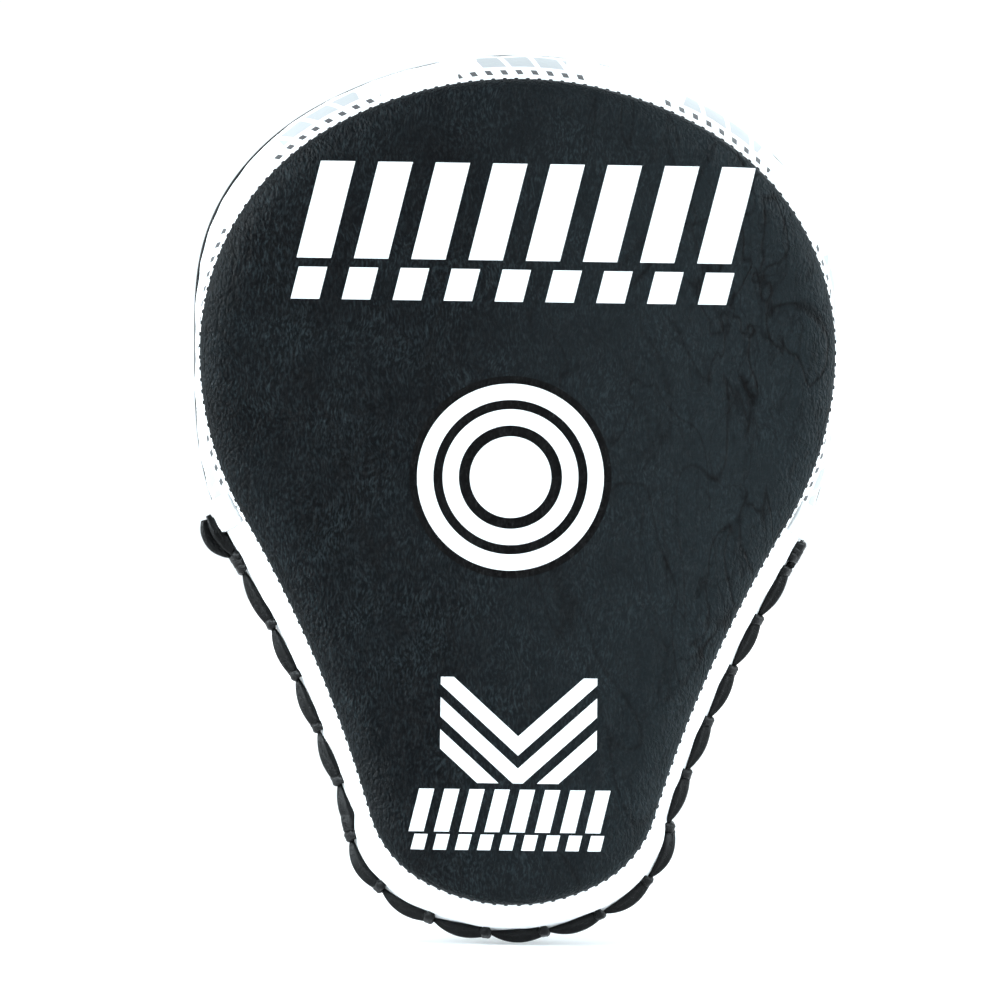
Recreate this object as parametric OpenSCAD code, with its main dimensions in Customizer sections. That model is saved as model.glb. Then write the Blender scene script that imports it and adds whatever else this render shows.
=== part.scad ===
// Focus mitt: a curved leather striking pad with foam inside, worn on the left hand.
// The striking face looks along -Y, the fingertips point along +Z, and the hand goes in from
// the +Y side. The origin is the crown of the palm ball, straight behind the target's centre.

/* [Pad outline] */
// Height of the face's top edge above the target's centre
face_top = 124.5; // [118:0.5:130]
// Radius of the broad arc over the fingertips
crown_r = 120; // [110:1:130]
// Radius of the rounded shoulders
shoulder_r = 80; // [76:1:84]
// Radius of the sides below the widest place
side_r = 102; // [96:1:108]
// Straight stretch where the sides turn into the flanks
flank_straight = 7; // [2:0.5:12]
// Radius of the hollow flanks that lead down to the wrist
flank_r = 425; // [380:5:480]
// Radius of the two bottom corners
corner_r = 34.5; // [31:0.5:38]

/* [Pad thickness] */
// Radius that the striking face is bent to, along its height
bend_r = 700; // [600:10:1000]
// Thickness of the whole pad, from the face to the back panel
pad_t = 48; // [44:1:54]
// Depth at which the face panel is sewn to the side wall
seam_depth = 6.5; // [5.5:0.5:8]
// Depth at which the side wall meets the back panel
edge_depth = 36; // [33:1:38]
// Thickness of the leather panels
leather_t = 1.6; // [1.2:0.1:2]
// How far the side wall swells past the face at the widest place
side_bulge = 2.4; // [2:0.2:4]
// Extra swelling where the edge turns away from the sides
end_bulge = 7.4; // [5:0.2:8]

/* [Edge lace] */
// Distance between two knots along the edge
knot_pitch = 18.2; // [17:0.1:18.6]
// Number of knots on each side of the bottom
knots_each_side = 9; // [6:1:9]
// How far the lowest gap between knots sits to the +X side
lace_shift = 1.8; // [0:0.2:3]
// Height of the joint between the printed and the plain side wall
joint_z = -10; // [-16:1:-4]

/* [Hand compartment] */
// Height of the palm ball above the back panel
ball_h = 20; // [16:1:24]
// Radius of the palm ball where it meets the back panel
ball_base_r = 36; // [32:1:40]
// Height of the finger hood above the back panel
hood_h = 38; // [34:1:42]
// Height of the hood's mouth at its sides
mouth_z = 18; // [14:1:22]
// How much higher the mouth is in the middle
mouth_rise = 18; // [10:1:20]
// Thickness of the hood's padding
hood_pad_t = 7; // [5:0.5:8]
// Inside radius of the thumb sleeve
thumb_r = 13; // [12:0.5:15]

/* [Wrist closure] */
// Height of the middle of the wrist cuff
cuff_z = -84; // [-86:1:-80]
// Half of the cuff's width
cuff_half_w = 38; // [36:0.5:39]
// Half of the gap between the cuff's two wings
cuff_gap_half = 12; // [8:1:14]
// Height of the cuff above the back panel
cuff_h = 50; // [46:1:56]
// Length of the cuff along the forearm
cuff_len = 56; // [52:1:58]
// Width of the strap
strap_w = 44; // [38:1:46]
// Thickness of the strap
strap_t = 1.8; // [1.5:0.1:2]
// Radius of the ring's wire
wire_r = 1.5; // [1.25:0.05:1.75]
// Distance between the ring's two long bars
ring_reach = 14; // [12:0.5:16]

/* [Hidden] */

$fn = 64;
layer_gap = 0.2;        // free space between layers of one stack
running_gap = 0.05;     // radial clearance of the ring in its loops
moving_gap = 0.3;       // space between faces of pieces that move apart

// ---- Half outline of the face, from the top centre down the +X side to the bottom centre.

// Each arc: [radius, sweep in degrees, steps]; a negative radius is a hollow curve.
crown = [crown_r, 30, 6];
shoulder = [shoulder_r, 60, 12];
side = [side_r, 30, 6];
flank = [-flank_r, 13, 3];
corner = [corner_r, 44, 9];
bottom_sweep = 180 - crown[1] - shoulder[1] - side[1] + flank[1] - corner[1];
bottom_steps = 6;

// A place on the outline is [x, z, heading], the heading falling from 0 at the top to -180.
function heading_dir(a) = [cos(a), sin(a)];
function out_dir(a) = [-sin(a), cos(a)];
function arc_place(p, r, turned) =
    let (a = p[2] - sign(r) * turned,
         q = [p[0], p[1]] - r * out_dir(p[2]) + r * out_dir(a))
    [q[0], q[1], a];
function arc_places(p, arc) = [for (i = [1:arc[2]]) arc_place(p, arc[0], arc[1] * i / arc[2])];
function after(list, arc) = concat(list, arc_places(list[len(list) - 1], arc));
function straight_place(p, len) =
    let (q = [p[0], p[1]] + len * heading_dir(p[2])) [q[0], q[1], p[2]];

to_side = after(after(after([[0, face_top, 0]], crown), shoulder), side);
to_flank = concat(to_side, [straight_place(to_side[len(to_side) - 1], flank_straight)]);
to_corner = after(after(to_flank, flank), corner);
corner_end = to_corner[len(to_corner) - 1];
half = after(to_corner, [corner_end[0] / sin(bottom_sweep), bottom_sweep, bottom_steps]);
last = len(half) - 1;
widest = crown[2] + shoulder[2];   // the step where the sides run straight down

// The whole outline is numbered from -last to last: +X side positive, -X side negative.
function place(u) =
    let (k = min(floor(abs(u)), last - 1), f = abs(u) - k,
         p = half[k] * (1 - f) + half[k + 1] * f,
         s = u < 0 ? -1 : 1)
    [s * p[0], p[1], -s * sin(p[2]), cos(p[2])];
function number_at_z(z) = lookup(-z, [for (i = [0:last]) [-half[i][1], i]]);

// ---- The bent pad: depth counts from the face toward the hand.
bend_y = -(ball_h + pad_t) - bend_r;
function depth_y(d, z) = bend_y + sqrt(pow(bend_r + d, 2) - z * z);
bulge_turn = 0.42;      // how soon the extra swelling comes in, as the normal's share along Z
function bulge(p) = side_bulge + end_bulge * (1 - exp(-pow(p[3] / bulge_turn, 2)));
function wall_share(d) = sin(90 * (d - seam_depth) / (edge_depth - seam_depth));

// A point beside the outline: moved out by off + share * bulge, at the given depth.
function pad_point(u, off, share, d) =
    let (p = place(u), w = off + share * bulge(p), z = p[1] + w * p[3])
    [p[0] + w * p[2], depth_y(d, z), z];

// ---- Closed skins made of rings of points.
function flip(faces) = [for (f = faces) [for (i = [len(f) - 1:-1:0]) f[i]]];
function wall_faces(rings, n) =
    [for (k = [0:rings - 2]) for (i = [0:n - 1]) let (j = (i + 1) % n, a = k * n, b = a + n)
        each [[a + i, b + i, b + j], [a + i, b + j, a + j]]];

// Slab around the outline; each ring is [offset, share of the bulge, depth].
module slab(rings) {
    numbers = [for (i = [0:last]) i, for (i = [last - 1:-1:1]) -i];
    n = len(numbers);
    caps = concat(flip(slab_cap(n, 0)), slab_cap(n, (len(rings) - 1) * n));
    polyhedron([for (r = rings) for (u = numbers) pad_point(u, r[0], r[1], r[2])],
               concat(flip(wall_faces(len(rings), n)), caps), convexity = 6);
}
// A ring is closed by strips that join its two sides at equal heights.
function slab_cap(n, start) =
    [for (i = [0:n / 2 - 1]) let (a = start + i, b = a + 1, c = start + n - i - 1, d = c + 1)
        each i == 0 ? [[a, b, c]] : i == n / 2 - 1 ? [[a, b, d]] : [[a, b, d], [b, c, d]]];

// Solid swept through a list of closed sections with flat ends; in a section of a strip,
// the second half of the points runs back beside the first.
module sweep_sections(sections, strip = false) {
    n = len(sections[0]);
    m = len(sections);
    ends = strip ? concat(strip_end(n, 0), flip(strip_end(n, (m - 1) * n)))
        : [[for (i = [0:n - 1]) i], [for (i = [n - 1:-1:0]) (m - 1) * n + i]];
    polyhedron([for (s = sections) for (p = s) p], concat(wall_faces(m, n), ends),
               convexity = 6);
}
function strip_end(n, start) =
    [for (i = [0:n / 2 - 2]) let (a = start + i, b = a + 1, d = start + n - 1 - i, c = d - 1)
        each [[a, b, c], [a, c, d]]];

// Steps from one outline number to another, with the whole numbers between them.
function steps(u0, u1) = [u0, for (i = [floor(u0) + 1:ceil(u1) - 1]) i, u1];

// Part of the side wall along a list of outline numbers; lift moves it out, t is its thickness.
wall_rows = 5;
module wall_band(numbers, d0, d1, lift, t) {
    depths = [for (k = [0:wall_rows]) d0 + (d1 - d0) * k / wall_rows];
    sweep_sections([for (u = numbers)
        concat([for (d = depths) pad_point(u, lift, wall_share(d), d)],
               [for (k = [wall_rows:-1:0])
                   pad_point(u, lift - t, wall_share(depths[k]), depths[k])])], strip = true);
}

// ---- The pad's layers.
rim_roll = [[-12, 0], [-8, 0.5], [-4.5, 1.7], [-1.8, 3.6], [0, seam_depth]];
rim_roll_inside = [[-12, leather_t], [-8.2, 2.1], [-5.2, 3.2], [-3, 4.9],
                   [-leather_t, seam_depth]];
latex_depth = 15.2;
core_depth = 18.2;
backing_depth = edge_depth + layer_gap;

module face_panel() {
    color("#1a1b1f") slab([for (r = rim_roll) [r[0], 0, r[1]],
        for (i = [4:-1:0]) [rim_roll_inside[i][0], 0, rim_roll_inside[i][1]]]);
}

// Foam between two depths that fills the swollen side wall.
function foam_ring(d) =
    let (b = wall_share(max(d, seam_depth))) [-leather_t - layer_gap, b, d];

module impact_foam() {
    front = [for (r = rim_roll_inside) [r[0] - layer_gap, 0, r[1] + layer_gap]];
    color("#d8d5c8") slab(concat(front,
        [for (d = [10, latex_depth - layer_gap]) foam_ring(d)]));
}

module latex_sheet() {
    color("#c9a45c") slab([for (d = [latex_depth, core_depth - layer_gap]) foam_ring(d)]);
}

module core_foam() {
    color("#9aa0a8") slab([for (d = [core_depth, 24, 30, edge_depth - 0.1]) foam_ring(d)]);
}

// Rounded back edge: [offset, share of the bulge, depth below the back panel's face].
back_roll = [[0, 1, pad_t - edge_depth - layer_gap], [0, 0.97, 8], [0, 0.8, 3.5],
             [0, 0.5, 0.8], [-4, 0, 0]];
back_roll_inside = [[-1.6, 1, pad_t - edge_depth - layer_gap], [-1.6, 0.97, 8.2],
                    [-1.8, 0.8, 4.6], [-2, 0.5, 2.4], [-5, 0, leather_t]];

module backing_foam() {
    color("#6f7780") slab([for (i = [0:4]) let (r = back_roll_inside[i])
        [r[0] - layer_gap, r[1], i == 0 ? backing_depth + 0.1 : pad_t - r[2] - layer_gap]]);
}

module back_panel() {
    color("#202126") slab([
        for (i = [4:-1:0]) let (r = back_roll_inside[i]) [r[0], r[1], pad_t - r[2]],
        for (r = back_roll) [r[0], r[1], pad_t - r[2]]]);
}

// The printed wall runs over the top, the plain one around the bottom.
joint_u = number_at_z(joint_z);
joint_free = 0.02;      // space between the two walls, in outline steps
upper_numbers = steps(-joint_u, joint_u);
lower_start = floor(joint_u) + 1;
lower_numbers = concat([joint_u + joint_free], [for (i = [lower_start:last]) i],
                       [for (i = [last - 1:-1:lower_start]) -i], [-joint_u - joint_free]);
module gusset_upper() {
    color("#f2f1ee") wall_band(upper_numbers, seam_depth, edge_depth, 0, leather_t);
}
module gusset_lower() {
    color("#f2f1ee") wall_band(lower_numbers, seam_depth, edge_depth, 0, leather_t);
}

// Leather tabs that cover the joint between the two side walls.
tab_half = 0.55;        // half length, in outline steps
tab_t = 1.2;
module seam_tab(side) {
    color("#e9e8e4") wall_band(steps(side * joint_u - tab_half, side * joint_u + tab_half),
                               seam_depth + 2, edge_depth - 2, tab_t + 0.05, tab_t);
}
module seam_tab_left() { seam_tab(-1); }
module seam_tab_right() { seam_tab(1); }

// Piping along the back edge, over the top from one joint to the other.
piping_r = 1.2;
module rear_piping() {
    color("#202126") sweep_sections([for (u = upper_numbers)
        [for (i = [0:7]) pad_point(u, piping_r * (1.05 + sin(-i * 45)), 1,
                                   edge_depth + piping_r * cos(i * 45))]]);
}

// ---- Edge lace: knots around the seam at the bottom, joined by swelling runs.
lace_r = 1.1;
lace_swell = 1.3;       // how much thicker a run is in its middle
run_steps = 5;
edge_numbers = [for (i = [-floor(joint_u):-1:-last]) i, for (i = [last - 1:-1:floor(joint_u)]) i];
function edge_point(u) = pad_point(u, 0, 1, edge_depth);
function length_to(i) =
    i == 0 ? 0 : length_to(i - 1) + norm(edge_point(edge_numbers[i]) - edge_point(edge_numbers[i - 1]));
edge_lengths = [for (i = [0:len(edge_numbers) - 1]) length_to(i)];
edge_middle = edge_lengths[last - floor(joint_u)];

// Outline number at a distance along the edge from the bottom centre, +X side positive.
function edge_number(s) =
    let (w = lookup(abs(s), [for (i = [0:last - floor(joint_u)])
                                [edge_middle - edge_lengths[last - floor(joint_u) - i], last - i]]))
    s < 0 ? -w : w;

last_step = 7;          // from the last full stitch to the closing one
knot_places = concat(
    [for (k = [-knots_each_side:knots_each_side - 1]) (k + 0.5) * knot_pitch + lace_shift],
    [(knots_each_side - 0.5) * knot_pitch + lace_shift + last_step]);
// One stitch around the edge: [along the edge, outward, depth from the seam].
stitch = [[-1.9, 1.7, -0.6], [-1.6, 1.0, -3.4], [-1, -2.2, -4.6], [0, -3.6, 0],
          [1, -2.2, 4.6], [1.6, 1.0, 3.4], [1.9, 1.7, 0.6]];
stitch_half = stitch[len(stitch) - 1][0];
first_knot = knot_places[0];
end_knot = knot_places[len(knot_places) - 1];
// The folded tail before the first knot, and the thin end behind the last one.
tail = [[-14, 2.2, -1, 0.6], [-12, 2.6, -1, 1.9], [-8.5, 2.6, -0.8, 2.1], [-5, 2, -0.7, 1]];
thin_end = [[4, 1.2, 2, -0.1], [7, 0.8, 5, -0.3]];
// Each point of the route: [distance along the edge, outward, depth, extra radius].
function run(from, length) =
    [for (i = [1:run_steps - 1]) let (f = i / run_steps, g = sin(180 * f))
        [from + f * length, 1.7 + 0.5 * g, 0.6 - 1.2 * f, g * lace_swell * length / knot_pitch]];
function lace_route() = concat(
    [for (q = tail) [first_knot + q[0], q[1], q[2], q[3]]],
    [for (k = [0:len(knot_places) - 1])
        each concat([for (q = stitch) [knot_places[k] + q[0], q[1], q[2], 0]],
            k == len(knot_places) - 1 ? []
            : run(knot_places[k] + stitch_half,
                  knot_places[k + 1] - knot_places[k] - 2 * stitch_half))],
    [for (q = thin_end) [end_knot + q[0], q[1], q[2], q[3]]]);
function lace_point(q) = pad_point(edge_number(q[0]), q[1], 1, edge_depth + q[2]);

module edge_lace() {
    route = lace_route();
    points = [for (q = route) lace_point(q)];
    color("#101114") tube(points, [for (q = route) lace_r + q[3]]);
}

// Tube of changing radius along a list of points.
module tube(points, radii, sides = 8) {
    m = len(points);
    sweep_sections([for (k = [0:m - 1])
        let (t = unit(points[min(k + 1, m - 1)] - points[max(k - 1, 0)]),
             a = unit(cross(t, tube_side(points, k))), b = cross(t, a))
        [for (i = [0:sides - 1])
            points[k] + radii[k] * (cos(i * 360 / sides) * a - sin(i * 360 / sides) * b)]]);
}
function unit(v) = v / norm(v);
function tube_side(points, k) = [0, 1, 0] + 0.001 * unit(points[k]);

// ---- Back of the pad, as a place to stand pieces on: +Y is away from the pad.
back_r = bend_r + pad_t;
module on_back(z) {
    translate([0, depth_y(pad_t, z), z]) rotate([asin(z / back_r), 0, 0]) children();
}
module back_cylinder(r, length) {
    translate([0, bend_y, 0]) rotate([0, 90, 0])
        cylinder(r = r, h = length, center = true, $fn = 720);
}
// Extrudes a drawing in X and Y along Z, with its middle at z = 0.
module along_arm(length) { translate([0, 0, -length / 2]) linear_extrude(length) children(); }

// ---- Palm ball.
ball_r = (ball_h * ball_h + ball_base_r * ball_base_r) / (2 * ball_h);
module ball_cap(r) {
    difference() {
        translate([0, -ball_r, 0]) sphere(r = r, $fn = 96);
        back_cylinder(back_r + layer_gap, 3 * ball_r);
    }
}
module palm_ball_cover() {
    color("#26272c") difference() {
        ball_cap(ball_r);
        translate([0, -ball_r, 0]) sphere(r = ball_r - leather_t, $fn = 96);
    }
}
module palm_ball_foam() { color("#d8d5c8") ball_cap(ball_r - leather_t - layer_gap); }

// ---- Finger hood: a padded cover that stands on the back panel and is open toward the wrist.
hood_inset = 8;
hood_profile = [[0, 0], [1.5, 8], [5, 17], [11, 25], [20, 31], [34, 35.5], [55, 38]];
hood_leather_t = 1.8;
hood_lining_t = 1;
hood_stack = hood_leather_t + hood_pad_t + hood_lining_t + 2 * layer_gap;
hood_last = len(hood_profile) - 1;

// A point of the profile moved inward by t along the profile's own normal.
function hood_step(k, t) =
    let (v = hood_profile[min(k + 1, hood_last)] - hood_profile[max(k - 1, 0)],
         n = [v[1], -v[0]] / norm(v), p = hood_profile[k] + t * n)
    [p[0], max(0, p[1]) * hood_h / hood_profile[hood_last][1]];
function hood_mouth_z(x) = mouth_z + mouth_rise * (1 - pow(x / (100 - hood_inset), 2));
function hood_point(p, h) = [p[0], depth_y(pad_t + layer_gap + h, p[1]), p[1]];
function hood_ring(k, t, cut = 0) =
    let (s = hood_step(k, t), off = -hood_inset - s[0], w = place(widest),
         x = w[0] + off, low = hood_mouth_z(x) + cut)
    [for (side = [1, -1]) each side > 0
        ? [hood_point([x, low], s[1]), hood_point([x, (low + w[1]) / 2], s[1]),
           for (u = [widest:-1:0]) pad_hood(u, off, s[1])]
        : [for (u = [-1:-1:-widest]) pad_hood(u, off, s[1]),
           hood_point([-x, (low + w[1]) / 2], s[1]), hood_point([-x, low], s[1])]];
function pad_hood(u, off, h) =
    let (p = place(u)) hood_point([p[0] + off * p[2], p[1] + off * p[3]], h);

module hood_layer(t0, t1) {
    n = 2 * widest + 5;
    outer = [for (k = [0:hood_last]) each hood_ring(k, t0)];
    inner = [for (k = [0:hood_last]) each hood_ring(k, t1)];
    m = (hood_last + 1) * n;
    skin = [for (k = [0:hood_last - 1]) for (i = [0:n - 2]) let (a = k * n + i, b = a + n)
        each [[a, b, b + 1], [a, b + 1, a + 1]]];
    top = hood_last * n;
    middle = (n - 1) / 2;
    crown_faces = [for (i = [0:middle - 1]) let (a = top + i, b = a + 1, d = top + n - 1 - i, c = d - 1)
        each i == middle - 1 ? [[a, d, b]] : [[a, d, c], [a, c, b]]];
    base = [for (i = [0:n - 2]) each [[i, i + 1, m + i + 1], [i, m + i + 1, m + i]]];
    mouth_side = [for (k = [0:hood_last - 1]) for (e = [0, n - 1])
        let (a = k * n + e, b = a + n)
        each e == 0 ? [[a, m + b, b], [a, m + a, m + b]] : [[a, b, m + b], [a, m + b, m + a]]];
    mouth_top = let (a = top, d = top + n - 1) [[a, m + a, m + d], [a, m + d, d]];
    polyhedron(concat(outer, inner),
        concat(skin, crown_faces, flip([for (f = concat(skin, crown_faces)) [for (i = f) i + m]]),
               base, mouth_side, mouth_top), convexity = 8);
}
module hood_shell() { color("#202126") hood_layer(0, hood_leather_t); }
module hood_padding() {
    color("#d8d5c8") hood_layer(hood_leather_t + layer_gap, hood_leather_t + layer_gap + hood_pad_t);
}
module hood_lining() { color("#3a3b42") hood_layer(hood_stack - hood_lining_t, hood_stack); }

// Tape sewn over the mouth's cut edge.
binding_w = 2.4;
module hood_binding() {
    ends = [for (k = [0:hood_last]) k, for (k = [hood_last:-1:0]) -k - 1];
    color("#101114") sweep_sections([for (e = ends)
        let (k = e < 0 ? -e - 1 : e)
        [for (c = [[0, -0.1], [hood_stack, -0.1], [hood_stack, -binding_w], [0, -binding_w]])
            let (ring = hood_ring(k, c[0], c[1])) e < 0 ? ring[len(ring) - 1] : ring[0]]]);
}

// ---- Elastic band over the fingers, inside the hood.
band_h = 20;
band_half_w = 36;
band_t = 1.5;
band_len = 24;
band_z = 67;
band_foot = 8;
module finger_band() {
    r = (band_half_w * band_half_w + band_h * band_h) / (2 * band_h);
    color("#2c2d33") on_back(band_z) translate([0, layer_gap + 0.1, 0]) along_arm(band_len) {
        intersection() {
            translate([0, band_h - r]) difference() { circle(r + band_t); circle(r); }
            translate([-2 * r, 0]) square([4 * r, 3 * r]);
        }
        for (side = [-1, 1])
            translate([side * (band_half_w + band_foot / 2), band_t / 2])
                square([band_foot, band_t], center = true);
    }
}

// ---- Thumb sleeve: a lined half tube sewn to the back panel.
thumb_len = 34;
thumb_place = [-57, -14];
thumb_lean = 20;
thumb_t = 2;
thumb_foot = 7;
module thumb_arch(r, t, foot) {
    difference() {
        circle(r + t);
        circle(r);
        translate([-2 * r, -4 * r]) square([4 * r, 4 * r]);
    }
    if (foot > 0) for (side = [-1, 1])
        translate([side > 0 ? r + t / 2 : -r - t / 2 - foot, 0]) square([foot, 1.2]);
}
module at_thumb() {
    on_back(thumb_place[1]) translate([thumb_place[0], layer_gap + 0.2, 0])
        rotate([0, -thumb_lean, 0]) along_arm(thumb_len) children();
}
module thumb_sleeve() { color("#202126") at_thumb() thumb_arch(thumb_r + 1.2, thumb_t, thumb_foot); }
module thumb_lining() { color("#3a3b42") at_thumb() thumb_arch(thumb_r, 1, 0); }

// ---- Wrist cuff, wrist cushion and strap, all drawn in X and Y around the wrist.
cuff_r = 15;
cuff_skin_t = 1.8;
cuff_pad_t = 4;
cuff_foot = 0.1;
pad_half_w = 29;
pad_h = 10;
pad_len = 50;
pad_corner = 5;

// Arch with flat feet: half width, lowest and highest Y, and corner radius.
module arch(hw, y0, y1, r) {
    translate([-hw, y0]) square([2 * hw, y1 - r - y0]);
    translate([r - hw, y0]) square([2 * (hw - r), y1 - y0]);
    for (side = [-1, 1]) translate([side * (hw - r), y1 - r]) circle(r);
}
// Band between two offsets outside the cuff.
module cuff_band(o0, o1) {
    difference() {
        arch(cuff_half_w + o1, 0, cuff_h + o1, cuff_r + o1);
        translate([0, -1]) arch(cuff_half_w + o0, 0, cuff_h + o0 + 1, cuff_r + o0);
    }
}
module cuff_opening() {
    translate([-cuff_gap_half, cuff_h / 2]) square([2 * cuff_gap_half, cuff_h]);
}
module cuff_shell() {
    t = cuff_skin_t;
    color("#202126") on_back(cuff_z) along_arm(cuff_len) difference() {
        arch(cuff_half_w, cuff_foot, cuff_h, cuff_r);
        arch(cuff_half_w - t, cuff_foot + t, cuff_h - t, cuff_r - t);
        cuff_opening();
    }
}
module cuff_lining() {
    o = cuff_skin_t + 0.1;
    i = o + cuff_pad_t;
    color("#3a3b42") on_back(cuff_z) along_arm(cuff_len - 2) difference() {
        arch(cuff_half_w - o, cuff_foot + o, cuff_h - o, cuff_r - o);
        arch(cuff_half_w - i, cuff_foot + o + 1.2, cuff_h - i, cuff_r - i);
        cuff_opening();
    }
}
pad_y0 = cuff_foot + cuff_skin_t + 0.1 + 1.2 + layer_gap;
module wrist_pad_cover() {
    t = 1.2;
    color("#26272c") on_back(cuff_z) difference() {
        along_arm(pad_len) arch(pad_half_w, pad_y0, pad_y0 + pad_h, pad_corner);
        along_arm(pad_len - 2 * t)
            arch(pad_half_w - t, pad_y0 + t, pad_y0 + pad_h - t, pad_corner - t);
    }
}
module wrist_pad_foam() {
    t = 1.2 + layer_gap;
    color("#d8d5c8") on_back(cuff_z) along_arm(pad_len - 2 * t)
        arch(pad_half_w - t, pad_y0 + t, pad_y0 + pad_h - t, pad_corner - t);
}

// Strap: sewn to the cuff on +X, over the gap to the ring, and back over itself.
strap_o = 0.2;
strap_top = cuff_h + strap_o + strap_t;
bar_y = strap_top + running_gap + wire_r;
bar_x = -4;
tab_bar_x = bar_x - ring_reach;
loop_r = wire_r + running_gap;
leg = 4;                // flat length of the fold beside the bar
patch_t = (2 * loop_r - moving_gap - 0.2) / 2;
flap_wrap = 60;         // how far the flap bends over the corner, in degrees
patch_wrap = 48;
flap_o = strap_o + strap_t + 2 * loop_r;

module wrist_strap() {
    color("#17181b") on_back(cuff_z) along_arm(strap_w) intersection() {
        cuff_band(strap_o, strap_o + strap_t);
        translate([bar_x + leg, 12]) square([2 * cuff_half_w, 2 * cuff_h]);
    }
}
// The part of a band from x0 to an angle over the +X corner.
module over_corner(x0, wrap) {
    c = [cuff_half_w - cuff_r, cuff_h - cuff_r];
    far = 3 * cuff_r;
    polygon([[x0, c[1]], c, c + far * [sin(wrap), cos(wrap)], [c[0] + far, c[1] + far],
             [x0, c[1] + far]]);
}
module loop_patch() {
    o = strap_o + strap_t + 0.1;
    color("#0d0e10") on_back(cuff_z) along_arm(strap_w - 6) intersection() {
        cuff_band(o, o + patch_t);
        over_corner(bar_x + leg + 1, patch_wrap);
    }
}
module hook_patch() {
    color("#3b3d42") on_back(cuff_z) along_arm(strap_w - 6) intersection() {
        cuff_band(flap_o - 0.1 - patch_t, flap_o - 0.1);
        over_corner(bar_x + leg + 1, patch_wrap);
    }
}
module strap_flap() {
    color("#17181b") on_back(cuff_z) along_arm(strap_w) intersection() {
        cuff_band(flap_o, flap_o + strap_t);
        over_corner(bar_x + leg, flap_wrap);
    }
}
// Half loop around a bar on the given side of it, with a flat leg above and one below.
module bar_loop(x, side) {
    far = 3 * loop_r;
    translate([x, bar_y]) mirror([side > 0 ? 0 : 1, 0]) {
        difference() {
            circle(loop_r + strap_t);
            circle(loop_r);
            translate([-far, -far]) square([far, 2 * far]);
        }
        for (y = [-loop_r - strap_t, loop_r])
            translate([-leg, y]) square([leg, strap_t]);
    }
}
module strap_fold() {
    color("#17181b") on_back(cuff_z) along_arm(strap_w) intersection() {
        bar_loop(bar_x, -1);
        translate([-cuff_half_w, 0]) square([cuff_half_w + bar_x + leg - 0.02, 2 * cuff_h]);
    }
}
// Tab of the ring: sewn over the -X corner, around the tab bar and back down onto itself.
tab_wrap = 60;          // how far the tab bends over the corner, in degrees
tab_meet = [37.5, 42.5]; // where its upper leg runs into it
function tab_corner(a) =
    [cuff_r - cuff_half_w, cuff_h - cuff_r]
    + (cuff_r + strap_o + strap_t / 2) * [-sin(a), cos(a)];
module ring_tab() {
    color("#202126") on_back(cuff_z) along_arm(strap_w) {
        intersection() {
            cuff_band(strap_o, strap_o + strap_t);
            mirror([1, 0]) over_corner(-tab_bar_x, tab_wrap);
        }
        bar_loop(tab_bar_x, 1);
        x = tab_bar_x - leg + 0.5;
        y = bar_y + loop_r;
        polygon([[x, y], [x, y + strap_t], tab_corner(tab_meet[1]), tab_corner(tab_meet[0])]);
    }
}

// Steel ring: two long bars along the arm, joined by two short ones with rounded corners.
ring_corner = 3;
module strap_ring() {
    half_len = strap_w / 2 + 1 + wire_r;
    mid_x = (bar_x + tab_bar_x) / 2;
    color("#c9ccd1") on_back(cuff_z) translate([mid_x, bar_y, 0]) rotate([-90, 0, 0])
        for (a = [0, 180]) rotate([0, 0, a]) {
            translate([ring_reach / 2, half_len - ring_corner, 0]) rotate([90, 0, 0])
                cylinder(r = wire_r, h = 2 * (half_len - ring_corner), $fn = 48);
            translate([ring_reach / 2 - ring_corner, half_len, 0]) rotate([0, -90, 0])
                cylinder(r = wire_r, h = ring_reach - 2 * ring_corner, $fn = 48);
            for (m = [0, 1]) mirror([0, m, 0])
                translate([ring_reach / 2 - ring_corner, half_len - ring_corner, 0])
                    rotate_extrude(angle = 90, $fn = 48) translate([ring_corner, 0])
                        circle(wire_r, $fn = 48);
        }
}

face_panel();
impact_foam();
latex_sheet();
core_foam();
backing_foam();
gusset_upper();
gusset_lower();
seam_tab_left();
seam_tab_right();
rear_piping();
edge_lace();
back_panel();
hood_shell();
hood_padding();
hood_lining();
hood_binding();
finger_band();
palm_ball_cover();
palm_ball_foam();
thumb_sleeve();
thumb_lining();
wrist_pad_cover();
wrist_pad_foam();
cuff_shell();
cuff_lining();
wrist_strap();
loop_patch();
ring_tab();
strap_ring();
strap_fold();
strap_flap();
hook_patch();
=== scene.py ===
"""Looks of the focus mitt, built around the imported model. Lengths are in millimetres until a mesh is made."""

import bisect
import math
import random

import bmesh
import bpy
from mathutils import Matrix, Vector, noise
from mathutils.bvhtree import BVHTree


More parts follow.
